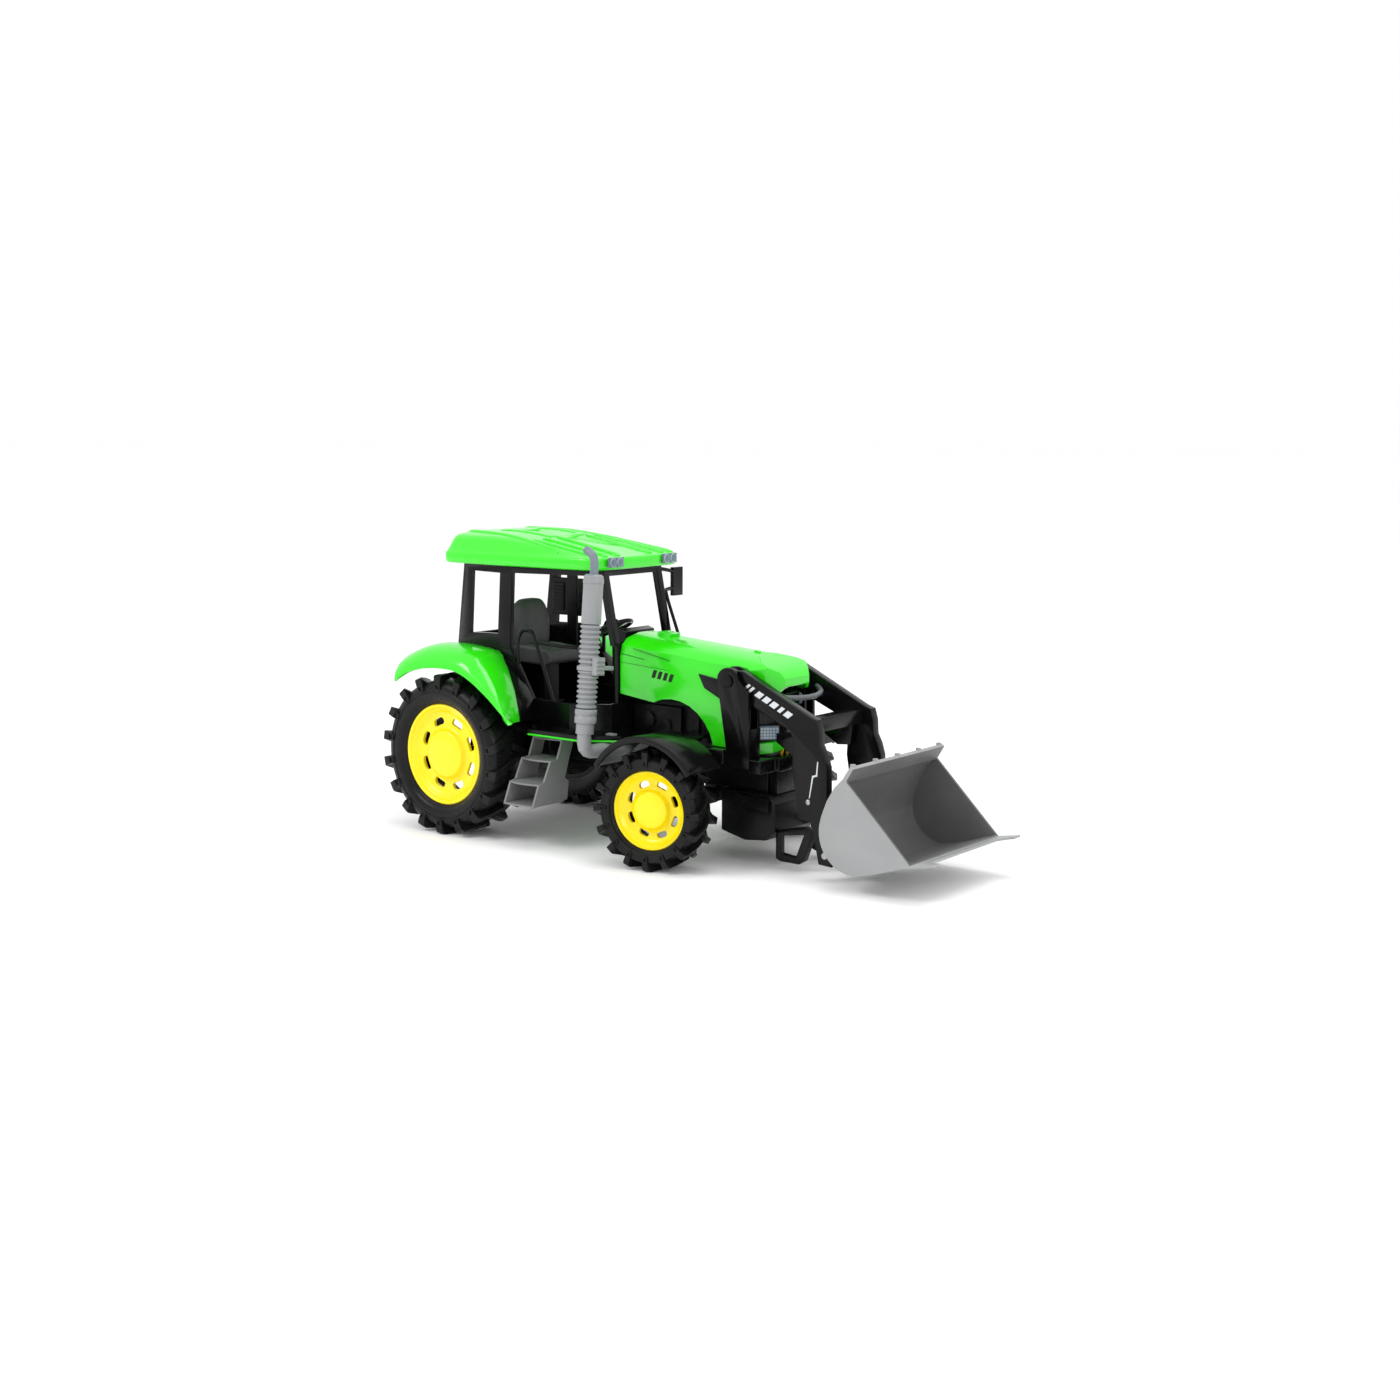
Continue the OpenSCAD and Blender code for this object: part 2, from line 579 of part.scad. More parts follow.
module exhaust_clamp() color([0.62, 0.62, 0.63]) place() stack() translate([0, 0, 46]) {
    difference() {
        union() {
            cylinder(r = 8.4, h = 3);
            box([4, -4, -3], [11, 5, 10]);
            box([-2, 6, 0], [2, 26, 3]);
        }
        translate([0, 0, -5]) cylinder(r = 7.55, h = 18);
    }
    for (z = [-2 : 3 : 7]) box([10.9, -3.4, z], [11.8, 4.4, z + 1.5]);
}

// ---------- steps ----------

module steps() color([0.6, 0.6, 0.6]) place() {
    for (x = [75, 95]) slab_yz(x, x + 2) polygon([[-47, 81.98], [-59, 81.98], [-66, 65], [-74, 65],
        [-78, 49],
        [-85, 49], [-94, 31], [-56, 33], [-52, 50]]);
    tread(-59, -47, 80);
    tread(-74, -56, 63);
    tread(-85, -62, 47);
    tread(-93.9, -66, 31.2);
}

// One tread, with its outer edge a shallow arc.
module tread(y_out, y_in, z) translate([0, 0, z]) linear_extrude(1.98) difference() {
    translate([76, y_out]) square([20, y_in - y_out]);
    translate([86, y_out - 41]) circle(r = 42, $fn = 96);
}

// ---------- loader ----------

module loader_bracket() color([0.09, 0.09, 0.1]) place() difference() {
    union() {
        for (y = [-41.5, -30.5]) slab_xz(y, y + 2.4 + (y < -40 ? 0.5 : 0)) polygon(concat(
            [[234, 84], [254, 84], [253, 126]], arc(arm_pivot_x, arm_pivot_z, 9.5, 10, 175, 8)));
        box([234, -41.5, 72], [254, -28.1, 100]);
    }
    bar_y(arm_pin_r + seat_gap, -50, -20, arm_pivot_x, arm_pivot_z);
}

module loader_subframe() color([0.09, 0.09, 0.1]) place() {
    both_sides() {
        box([206, -45, 74], [233.98, -38, 84]);
        box([206, -38, 74], [233.98, -18.1, 78]);
        box([254.02, -41.5, 69], [264, -24, 78.9]);
    }
    box([256, -24.1, 69], [268, 24.1, 78.9]);
}

module arm_pivot_pins() color([0.7, 0.7, 0.72]) place() both_sides() {
    bar_y(arm_pin_r, -41.5, -28.1, arm_pivot_x, arm_pivot_z);
    bar_y(4.4, -43, -41.52, arm_pivot_x, arm_pivot_z);
}

arm_outline = concat(arc(arm_pivot_x, arm_pivot_z, 8.5, 230, 60, 9), [[246, 140.4], [302.5, 113.6],
    [308, 111.8],
    [310.4, 104], [311, 94], [314.4, 87.6], [317, 79.4], [317.4, 59.3], [314, 43], [317, 27],
        [324, 12.5],
    [322.4, 10.9], [311.5, 11.6], [305, 40], [294.4, 41.5], [288.5, 77], [289.5, 96], [286, 102.8]]);

module loader_arm() color([0.09, 0.09, 0.1]) place() difference() {
    slab_xz(-arm_out, -arm_in) polygon(arm_outline);
    bar_y(arm_pin_r + run, -50, -20, arm_pivot_x, arm_pivot_z);
    bar_y(bucket_pin_r + seat_gap, -50, -20, bucket_pivot_x, bucket_pivot_z);
}

module cross_beam() color([0.09, 0.09, 0.1]) place() {
    box([292, -arm_in + 0.02, 101], [302, arm_in - 0.02, 111]);
    both_sides() slab_xz(-arm_in + 0.02, -arm_in + 4) polygon([[270, 98], [292, 101.2], [296, 101.2],
        [294, 85],
        [283, 84], [270, 92]]);
}

module handle_bar() color([0.5, 0.5, 0.51]) place() tube_path([
    [262, -arm_in + 0.02, 124.5], [271, -24, 122.5], [276.5, -12, 121.5], [278, 0, 121.2],
        [276.5, 12, 121.5],
    [271, 24, 122.5], [262, arm_in - 0.02, 124.5]], 1.9, [0, 0, 1]);

module bucket_pins() color([0.7, 0.7, 0.72]) place() both_sides()
    bar_y(bucket_pin_r, -arm_out, -arm_in + 5.5, bucket_pivot_x, bucket_pivot_z);

// Outside of the bucket's side, from its top corner down the back to its front corner
bucket_side = concat([[345, 79], [338, 71.8], [332, 62], [327.9, 51.5]],
    arc(353.2, 40.8, 27.2, 170, 270, 12),
    [[366.7, 16.2], [398.4, 26]]);
bucket_ear = concat(arc(bucket_pivot_x, bucket_pivot_z, 5.4, 100, 290, 8),
    [[337, 18.2], [336.5, 20.5], [329.2, 30.5], [327, 44], [325.4, 44]]);

module bucket() color([0.65, 0.65, 0.65]) place() {
    difference() {
        slab_xz(-bucket_y, bucket_y) polygon(bucket_side);
        slab_xz(-bucket_y + bucket_wall, bucket_y - bucket_wall)
            polygon(concat(outline_inset(bucket_side, -bucket_wall), [[420, 45], [365, 100]]));
    }
    difference() {
        slab_xz(-bucket_y, bucket_y) polygon([[388, 23.4], [414.5, 28.2], [414.5, 29.7], [388, 25.4]]);
        translate([0, 0, 20]) linear_extrude(20) polygon([[430, -52], [411, -50], [405, -45],
            [405, 45], [411, 50], [430, 52]]);
        for (y = [-37.5 : 15 : 37.5]) box([400, y - 3, 20], [401.2, y + 3, 40]);
    }
    slab_xz(-bucket_y, bucket_y) polygon([[343.6, 77], [346.4, 75.6], [352.6, 86], [350.2, 87.4]]);
    for (y = [-56, -28, 0, 28, 56]) box([348.6, y - 1.5, 84], [351.4, y + 1.5, 88.6]);
    both_sides() difference() {
        slab_xz(-arm_in + 0.4, -arm_in + 5.2) polygon(bucket_ear);
        bar_y(bucket_pin_r + run, -50, 50, bucket_pivot_x, bucket_pivot_z);
    }
}

// ---------- front end ----------

module front_weight() color([0.1, 0.1, 0.11]) place() {
    slab_xz(-26, 26) polygon([[219, 51.9], [219, 22], [240, 17], [258, 19], [266, 26], [266, 46],
        [260, 51.9]]);
    box([256.02, -18, 51.8], [262, 18, 68.9]);
    both_sides() slab_xz(-29, -26) polygon([[232, 44], [262, 40], [262, 48], [234, 51]]);
}

module front_stay() color([0.09, 0.09, 0.1]) place() both_sides() slab_xz(-25, -19) difference() {
    polygon([[266.02, 27], [266.02, 7], [270, 5.4], [286, 5.2], [290, 8], [298, 30], [292, 33],
        [278, 30]]);
    polygon([[270, 24], [270, 11], [283, 9.5], [290, 27], [280, 25.6]]);
}

// ---------- drawing ----------

chassis_frame();
rear_axle_housings();
side_tanks();
tow_hitch();
rear_axle();
rear_tyre();  // rear_tyre_right
mirror([0, 1, 0]) rear_tyre();  // rear_tyre_left
rear_rim();  // rear_rim_right
mirror([0, 1, 0]) rear_rim();  // rear_rim_left
front_axle_beam();
kingpins();
knuckle(1);  // knuckle_right
knuckle(-1);  // knuckle_left
tie_rod();
front_tyre(1);  // front_tyre_right
front_tyre(-1);  // front_tyre_left
front_rim(1);  // front_rim_right
front_rim(-1);  // front_rim_left
cab_frame();
cab_floor();
roof();
roof_lights();
seat();
seat_base();
dashboard();
steering_column();
steering_wheel();
rear_fender();  // rear_fender_right
mirror([0, 1, 0]) rear_fender();  // rear_fender_left
arch_liners();
running_boards();
door_rails();
mirror_arm();
hood();
hood_inserts();
engine_block();
front_grille();
nose_lights();
headlights();
bumper_strip();
front_fender();  // front_fender_right
mirror([0, 1, 0]) front_fender();  // front_fender_left
exhaust_elbow();
exhaust_bellows();
exhaust_muffler();
exhaust_clamp();
steps();  // steps_right
mirror([0, 1, 0]) steps();  // steps_left
loader_bracket();  // loader_bracket_right
mirror([0, 1, 0]) loader_bracket();  // loader_bracket_left
loader_subframe();
arm_pivot_pins();
loader_arm();  // loader_arm_right
mirror([0, 1, 0]) loader_arm();  // loader_arm_left
cross_beam();
handle_bar();
bucket_pins();
bucket();
front_weight();
front_stay();
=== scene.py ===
"""Looks for the toy farm tractor with a front loader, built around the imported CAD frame."""
import bpy
import bmesh
import json
import math
from mathutils import Matrix, Vector
from mathutils.bvhtree import BVHTree

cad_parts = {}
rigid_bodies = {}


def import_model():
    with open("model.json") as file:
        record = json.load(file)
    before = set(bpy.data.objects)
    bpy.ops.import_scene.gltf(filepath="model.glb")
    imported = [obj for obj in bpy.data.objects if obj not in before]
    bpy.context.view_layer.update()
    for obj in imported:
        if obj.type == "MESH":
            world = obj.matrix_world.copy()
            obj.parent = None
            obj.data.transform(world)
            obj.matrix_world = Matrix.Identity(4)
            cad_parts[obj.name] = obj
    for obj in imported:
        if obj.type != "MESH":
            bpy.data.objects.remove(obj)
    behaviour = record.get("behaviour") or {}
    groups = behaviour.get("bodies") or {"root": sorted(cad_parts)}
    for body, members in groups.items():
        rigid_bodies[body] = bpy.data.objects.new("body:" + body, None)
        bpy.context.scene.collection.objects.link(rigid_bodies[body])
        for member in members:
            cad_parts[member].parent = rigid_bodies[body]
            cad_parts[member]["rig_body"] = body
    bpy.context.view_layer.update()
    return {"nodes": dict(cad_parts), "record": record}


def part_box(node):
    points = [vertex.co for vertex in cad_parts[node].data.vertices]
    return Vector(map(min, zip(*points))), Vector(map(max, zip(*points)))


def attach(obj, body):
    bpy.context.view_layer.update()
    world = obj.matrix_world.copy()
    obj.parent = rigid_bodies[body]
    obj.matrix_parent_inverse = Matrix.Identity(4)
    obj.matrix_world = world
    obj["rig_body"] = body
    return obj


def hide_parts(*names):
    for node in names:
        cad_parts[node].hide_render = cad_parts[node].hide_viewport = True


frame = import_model()
nodes = frame["nodes"]
scene = bpy.context.scene

# ---------------------------------------------------------------- helpers
low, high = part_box("rear_rim_right")
REAR_X = (low.x + high.x) / 2 * 1000
REAR_Z = (low.z + high.z) / 2 * 1000
WHEELBASE = 198.0
KINGPIN_Y = 70.0
STEER = math.radians(10.7)
OUTER_Y = 95.0
FRONT_AXLE_Z = 43
REAR_WIDTH, FRONT_WIDTH = 43, 33
SIDES = (("right", -1), ("left", 1))


def at(x, y, z):
    """Millimetres, x from the rear axle, to the row frame in metres."""
    return Vector(((x + REAR_X) / 1000, y / 1000, z / 1000))


def link(obj):
    scene.collection.objects.link(obj)
    return obj


def piece(name, verts, faces, mat, body, slot, smooth=True):
    """A new mesh piece that rides on a body; verts are in millimetres from the rear axle."""
    mesh = bpy.data.meshes.new(name)
    mesh.from_pydata([at(*v) for v in verts], [], faces)
    mesh.update()
    bm = bmesh.new()
    bm.from_mesh(mesh)
    bmesh.ops.recalc_face_normals(bm, faces=bm.faces)
    bm.to_mesh(mesh)
    bm.free()
    for p in mesh.polygons:
        p.use_smooth = smooth
    obj = link(bpy.data.objects.new(name, mesh))
    for m in (mat if isinstance(mat, (list, tuple)) else [mat]):
        mesh.materials.append(m)
    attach(obj, body)
    return obj


def soften(obj, width, segments=3, angle=28):
    """Rounds the edges of a hard-edged mesh, as a mould does."""
    bev = obj.modifiers.new("round", "BEVEL")
    bev.width = width / 1000
    bev.segments = segments
    bev.limit_method = "ANGLE"
    bev.angle_limit = math.radians(angle)
    bev.harden_normals = True
    bev.use_clamp_overlap = True
    return obj


def bake(obj):
    """Turns an object's modifiers into its mesh."""
    graph = bpy.context.evaluated_depsgraph_get()
    graph.update()
    mesh = bpy.data.meshes.new_from_object(obj.evaluated_get(graph))
    old = obj.data
    obj.modifiers.clear()
    obj.data = mesh
    bpy.data.meshes.remove(old)
    return obj


def cut(obj, cutters):
    """Takes the cutters' shapes out of the object."""
    for cutter in cutters:
        mod = obj.modifiers.new("cut", "BOOLEAN")
        mod.operation = "DIFFERENCE"
        mod.solver = "EXACT"
        mod.object = cutter
    bake(obj)
    for cutter in cutters:
        bpy.data.objects.remove(cutter)
    return obj


def loose(name, verts, faces):
    """A helper mesh that only cuts."""
    mesh = bpy.data.meshes.new(name)
    mesh.from_pydata([at(*v) for v in verts], [], faces)
    bm = bmesh.new()
    bm.from_mesh(mesh)
    bmesh.ops.recalc_face_normals(bm, faces=bm.faces)
    bm.to_mesh(mesh)
    bm.free()
    return link(bpy.data.objects.new(name, mesh))


def prism(outline, put, a, b):
    """Verts and faces of an outline extruded from a to b; put(p, q, depth) gives the point."""
    n = len(outline)
    verts = [put(p, q, a) for p, q in outline] + [put(p, q, b) for p, q in outline]
    faces = [list(range(n))[::-1], list(range(n, 2 * n))]
    faces += [[i, (i + 1) % n, n + (i + 1) % n, n + i] for i in range(n)]
    return verts, faces


def xz(p, q, d):
    return (p, d, q)


def xy(p, q, d):
    return (p, q, d)


def block(lo, hi):
    return prism([(lo[0], lo[1]), (hi[0], lo[1]), (hi[0], hi[1]), (lo[0], hi[1])], xy, lo[2], hi[2])


def merge(*parts):
    verts, faces = [], []
    for v, f in parts:
        k = len(verts)
        verts += list(v)
        faces += [[i + k for i in face] for face in f]
    return verts, faces


def turned(profile, place, segments=96, close=True):
    """A profile of (radius, depth) turned round the wheel's axle; place(r, a, d) gives the point."""
    verts, faces = [], []
    n = len(profile)
    for i in range(segments):
        a = 2 * math.pi * i / segments
        verts += [place(r, a, d) for r, d in profile]
    for i in range(segments):
        j = (i + 1) % segments
        for k in range(n if close else n - 1):
            m = (k + 1) % n
            faces.append([i * n + k, i * n + m, j * n + m, j * n + k])
    return verts, faces


def chaikin(points, rounds=2):
    """Rounds the corners of a closed outline."""
    for _ in range(rounds):
        out = []
        for i, p in enumerate(points):
            q = points[(i + 1) % len(points)]
            out.append(tuple(0.75 * a + 0.25 * b for a, b in zip(p, q)))
            out.append(tuple(0.25 * a + 0.75 * b for a, b in zip(p, q)))
        points = out
    return points


# ---------------------------------------------------------------- materials
def linear(c):
    out = []
    for v in c:
        v /= 255
        out.append(v / 12.92 if v <= 0.04045 else ((v + 0.055) / 1.055) ** 2.4)
    return out


def plastic(name, rgb, rough, spec=0.4, grain=0.1, grain_mm=0.5, tone=0.06, swirl=0.08, coat=0.0, metal=0.0):
    """Moulded plastic: slow tone drift from the melt, fine grain, and handling marks in the gloss."""
    mat = bpy.data.materials.new(name)
    mat.use_nodes = True
    tree = mat.node_tree
    new, join = tree.nodes.new, tree.links.new
    shader = tree.nodes["Principled BSDF"]
    coords = new("ShaderNodeTexCoord")
    base = linear(rgb)
    slow = new("ShaderNodeTexNoise")
    slow.inputs["Scale"].default_value = 28
    slow.inputs["Detail"].default_value = 5
    slow.inputs["Roughness"].default_value = 0.55
    join(coords.outputs["Object"], slow.inputs["Vector"])
    ramp = new("ShaderNodeValToRGB")
    ramp.color_ramp.elements[0].position = 0.32
    ramp.color_ramp.elements[1].position = 0.7
    ramp.color_ramp.elements[0].color = [max(0, c * (1 - tone)) for c in base] + [1]
    ramp.color_ramp.elements[1].color = [min(1, c * (1 + tone) + 0.012 * tone) for c in base] + [1]
    join(slow.outputs["Fac"], ramp.inputs["Fac"])
    join(ramp.outputs["Color"], shader.inputs["Base Color"])
    marks = new("ShaderNodeTexNoise")
    marks.inputs["Scale"].default_value = 160
    marks.inputs["Detail"].default_value = 8
    marks.inputs["Distortion"].default_value = 1.6
    join(coords.outputs["Object"], marks.inputs["Vector"])
    gloss = new("ShaderNodeMapRange")
    gloss.inputs["From Min"].default_value = 0.3
    gloss.inputs["From Max"].default_value = 0.75
    gloss.inputs["To Min"].default_value = max(0.03, rough - swirl)
    gloss.inputs["To Max"].default_value = min(1, rough + swirl)
    join(marks.outputs["Fac"], gloss.inputs["Value"])
    join(gloss.outputs["Result"], shader.inputs["Roughness"])
    fine = new("ShaderNodeTexNoise")
    fine.inputs["Scale"].default_value = 1000 / grain_mm
    fine.inputs["Detail"].default_value = 3
    join(coords.outputs["Object"], fine.inputs["Vector"])
    wave = new("ShaderNodeMath")
    wave.operation = "MULTIPLY_ADD"
    wave.inputs[1].default_value = 0.6
    join(slow.outputs["Fac"], wave.inputs[0])
    join(fine.outputs["Fac"], wave.inputs[2])
    bump = new("ShaderNodeBump")
    bump.inputs["Strength"].default_value = grain
    bump.inputs["Distance"].default_value = 0.0002
    join(wave.outputs["Value"], bump.inputs["Height"])
    join(bump.outputs["Normal"], shader.inputs["Normal"])
    shader.inputs["Specular IOR Level"].default_value = spec
    shader.inputs["Coat Weight"].default_value = coat
    shader.inputs["Coat Roughness"].default_value = 0.08
    shader.inputs["Metallic"].default_value = metal
    return mat


green = plastic("green_gloss", (44, 218, 12), 0.2, spec=0.5, grain=0.05, tone=0.05, coat=0.4)
# a dark green used only as painted shade for the hood's grooves
groove_shade_green = plastic("groove_shade_green", (14, 120, 8), 0.4, spec=0.3, grain=0.05, tone=0.1)
yellow = plastic("yellow_gloss", (250, 226, 12), 0.25, spec=0.4, grain=0.06, tone=0.04, coat=0.1)
black = plastic("black_gloss", (4, 4, 5), 0.2, spec=0.2, grain=0.1, tone=0.3)
frame_black = plastic("black_satin", (5, 5, 6), 0.34, spec=0.17, grain=0.2, grain_mm=0.35, tone=0.3)
tyre_black = plastic("tyre_rubber", (10, 10, 11), 0.34, spec=0.2, grain=0.3, grain_mm=0.3, tone=0.35,
                     swirl=0.12)
pipe_grey = plastic("pipe_grey", (140, 142, 144), 0.36, spec=0.4, grain=0.12, tone=0.07)
tail_grey = plastic("tail_grey", (112, 122, 132), 0.32, spec=0.5, grain=0.12, tone=0.08)
bucket_out = plastic("bucket_outside", (150, 151, 152), 0.42, spec=0.35, grain=0.16, grain_mm=0.6, tone=0.05)
# the bucket's inside grey: partly its own darker plastic, partly painted shade inside the scoop
bucket_in_dark_and_shaded = plastic("bucket_inside_dark_and_shaded", (100, 100, 101), 0.46, spec=0.35, grain=0.2, grain_mm=0.6, tone=0.1)
step_grey = plastic("step_grey", (122, 122, 123), 0.4, spec=0.35, grain=0.15, tone=0.08)
seat_grey = plastic("seat_grey", (74, 74, 76), 0.55, spec=0.3, grain=0.5, grain_mm=0.8, tone=0.12)
lamp_grey = plastic("lamp_housing", (92, 108, 118), 0.3, spec=0.5, grain=0.08, tone=0.12)
lens_grey = plastic("lamp_lens", (158, 176, 190), 0.14, spec=0.6, grain=0.1, grain_mm=1.2, tone=0.15,
                    coat=0.5)
bar_grey = plastic("bar_grey", (92, 96, 98), 0.34, spec=0.4, grain=0.12, tone=0.08)
pin_steel = plastic("pin_steel", (168, 170, 174), 0.3, spec=0.5, grain=0.12, tone=0.08, metal=0.85)
print_white = plastic("print_pale", (205, 210, 214), 0.5, spec=0.3, grain=0.05, tone=0.06)
print_black = plastic("print_dark", (20, 40, 16), 0.5, spec=0.3, grain=0.05, tone=0.2)
hazard_yellow = plastic("hazard_yellow", (236, 196, 30), 0.4, spec=0.35, grain=0.08, tone=0.08)

SLOT_MATERIAL = {
    "green_shell": green, "black_plastic": black, "frame_black": frame_black, "yellow_rim": yellow,
    "tyre_black": tyre_black, "pipe_grey": pipe_grey, "bucket_grey": bucket_out, "step_grey": step_grey,
    "seat_grey": seat_grey, "lamp_grey": lamp_grey, "pin_steel": pin_steel,
}
slot_of = {s["node"]: s["material_slot"] for s in frame["record"]["subparts"]}

# ---------------------------------------------------------------- carried-over CAD nodes
EDGE = {
    "hood": 1.6, "cab_frame": 1.0, "cab_floor": 0.8, "rear_fender_right": 2.0, "rear_fender_left": 2.0,
    "running_boards": 0.8, "engine_block": 0.8, "front_grille": 1.0, "bumper_strip": 1.0,
    "front_fender_right": 1.0, "front_fender_left": 1.0, "exhaust_clamp": 0.7, "steps_right": 0.45,
    "steps_left": 0.45, "loader_bracket_right": 0.8, "loader_bracket_left": 0.8, "loader_subframe": 0.8,
    "loader_arm_right": 1.1, "loader_arm_left": 1.1, "cross_beam": 0.9, "front_weight": 1.4,
    "front_stay": 0.7, "chassis_frame": 1.0, "side_tanks": 2.0, "tow_hitch": 0.6, "front_axle_beam": 0.6,
    "knuckle_right": 0.4, "knuckle_left": 0.4, "tie_rod": 0.4, "seat_base": 1.0, "dashboard": 1.6,
    "mirror_arm": 0.5, "hood_inserts": 0.4, "exhaust_muffler": 0.6, "exhaust_bellows": 0.3,
    "steering_wheel": 0.5, "arm_pivot_pins": 0.5, "bucket_pins": 0.4, "rear_axle_housings": 0.8,
    "rear_axle": 0.4, "kingpins": 0.3, "nose_lights": 0.5, "headlights": 0.6,
}


def dress(obj, width):
    """Welds the CAD mesh's triangles into faces and rounds its edges."""
    weld = obj.modifiers.new("weld", "WELD")
    weld.merge_threshold = 0.00001
    flat = obj.modifiers.new("flat", "DECIMATE")
    flat.decimate_type = "DISSOLVE"
    flat.angle_limit = math.radians(1.5)
    for p in obj.data.polygons:
        p.use_smooth = True
    soften(obj, width)


for name, obj in nodes.items():
    obj.data.materials.clear()
    obj.data.materials.append(SLOT_MATERIAL[slot_of[name]])
    dress(obj, EDGE.get(name, 0.3))
for name, mat in (("arm_pivot_pins", frame_black), ("handle_bar", bar_grey)):
    nodes[name].data.materials[0] = mat


def copy_of(node, name, mat, width=None):
    """A new piece with a CAD node's shape, to be worked further, in place of the node."""
    mesh = nodes[node].data.copy()
    obj = link(bpy.data.objects.new(name, mesh))
    mesh.materials.clear()
    mesh.materials.append(mat)
    if width:
        dress(obj, width)
        bake(obj)
    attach(obj, nodes[node]["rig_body"])
    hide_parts(node)
    return obj


# ---------------------------------------------------------------- wheels
def wheel_place(front, side):
    """Gives place(r, a, d): a point at radius r, angle a and depth d from the wheel's inner face."""
    def place(r, a, d):
        width = FRONT_WIDTH if front else REAR_WIDTH
        x, z = r * math.cos(a), r * math.sin(a)
        y = -(OUTER_Y - width + d)
        if not front:
            return (x, y * side, REAR_Z + z)
        kx, ky = 0.0, -KINGPIN_Y * side
        dx, dy = x - kx, y * side - ky
        c, s = math.cos(STEER), math.sin(STEER)
        return (WHEELBASE + dx * c - dy * s, ky + dx * s + dy * c, FRONT_AXLE_Z + z)
    return place


LUG_HEIGHT = 4.5
LUG_HALF = math.degrees(0.056)
LUG_LEAN = 1.15
REAR_BASE_RADIUS = 57
LUG_FOOT = 1.25
WELL_FACE = 3


def tyre(name, node, body, front, side, r_out, r_in, w, count):
    """A carcass turned round the axle, with two rows of slanting lugs that have a sunk well each."""
    place = wheel_place(front, side)
    rb = r_out - LUG_HEIGHT
    profile = [
        (r_in, 4), (r_in + 1.5, 2.2), (r_in + 5, 1.0), (rb - 8, 0.3), (rb - 4.5, 1.2),
        (rb - 1.5, 3.5), (rb, 8), (rb + 0.3, w / 2), (rb, w - 8), (rb - 1.2, w - 4.6),
        (rb - 4, w - 2.2), (rb - 7, w - 1.7),
        (rb - 7.4, w - 2.3), (rb - 8.2, w - 2.4), (rb - 8.8, w - 1.9), (r_in + 8, w - 1.8),
        (r_in + 5, w - 2.4), (r_in + 2.6, w - 3.7), (r_in + 2.2, w - 4.4), (r_in + 1.4, w - 4.5),
        (r_in, w - 6)]
    parts = [turned(profile, place, 144)]
    stations = [
        # radius of base, radius of top, depth of base, depth of top, shift in degrees, half width factor
        (rb - 7.5, rb - 7.0, w - 5.0, w - 0.9, 0.0, 0.80),
        (rb - 3.0, rb - 2.2, w - 6.0, w - 0.25, 0.0, 1.00),
        (rb - 2.0, r_out - 1.2, w - 7.0, w - 0.9, 0.3, 1.05),
        (rb - 1.5, r_out - 0.1, w - 9.0, w - 3.2, 1.2, 1.0),
        (rb - 1.0, r_out - 0.1, w - 14.0, w - 12.0, 4.5, 0.9),
        (rb - 1.0, r_out - 0.3, w / 2 - 1.0, w / 2 - 0.5, 9.0, 0.75)]
    n = len(stations)
    for i in range(count):
        for hand in (1, -1):
            mid = -90 + 360 * (i + (0 if hand > 0 else 0.5)) / count
            verts = []
            for rbase, rtop, dbase, dtop, shift, fat in stations:
                for r, d, k in ((rbase, dbase, LUG_FOOT), (rtop, dtop, 1.0)):
                    depth = d if hand > 0 else w - d
                    for s in (-1, 1):
                        lean = shift * LUG_LEAN * (REAR_BASE_RADIUS / rb)
                        a = math.radians(mid + lean + s * LUG_HALF * fat * k)
                        verts.append(place(min(r, r_out), a, depth))
            faces = [[0, 1, 3, 2]]
            for k in range(n - 1):
                b = 4 * k
                faces += [[b, b + 2, b + 6, b + 4], [b + 1, b + 5, b + 7, b + 3],
                          [b + 2, b + 3, b + 7, b + 6], [b, b + 4, b + 5, b + 1]]
            b = 4 * (n - 1)
            faces.append([b, b + 2, b + 3, b + 1])
            parts.append((verts, faces))
    first_faces = []
    offset = len(parts[0][1])
    for _, lug_faces in parts[1:]:
        first_faces.append(offset)
        offset += len(lug_faces)
    obj = piece(name, *merge(*parts), tyre_black, body, "tyre_black")
    bm = bmesh.new()
    bm.from_mesh(obj.data)
    bm.faces.ensure_lookup_table()
    wells = [bm.faces[k + WELL_FACE] for k in first_faces]
    bmesh.ops.inset_individual(bm, faces=wells, thickness=0.0013, depth=0.0)
    bmesh.ops.inset_individual(bm, faces=wells, thickness=0.0003, depth=-0.0012)
    bm.to_mesh(obj.data)
    bm.free()
    soften(obj, 0.55, 2, 32)
    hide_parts(node)
    return obj


REAR_RIM_RADIUS = 38.7
RIM_SEGMENTS = 128
SLOTS = 8
SLOT_POINTS = 24
SLOT_RING = 0.665


def superellipse(t, power):
    """A point of a rounded box, from -1 to 1 both ways."""
    u, v = math.cos(t), math.sin(t)
    return math.copysign(abs(u) ** power, u), math.copysign(abs(v) ** power, v)


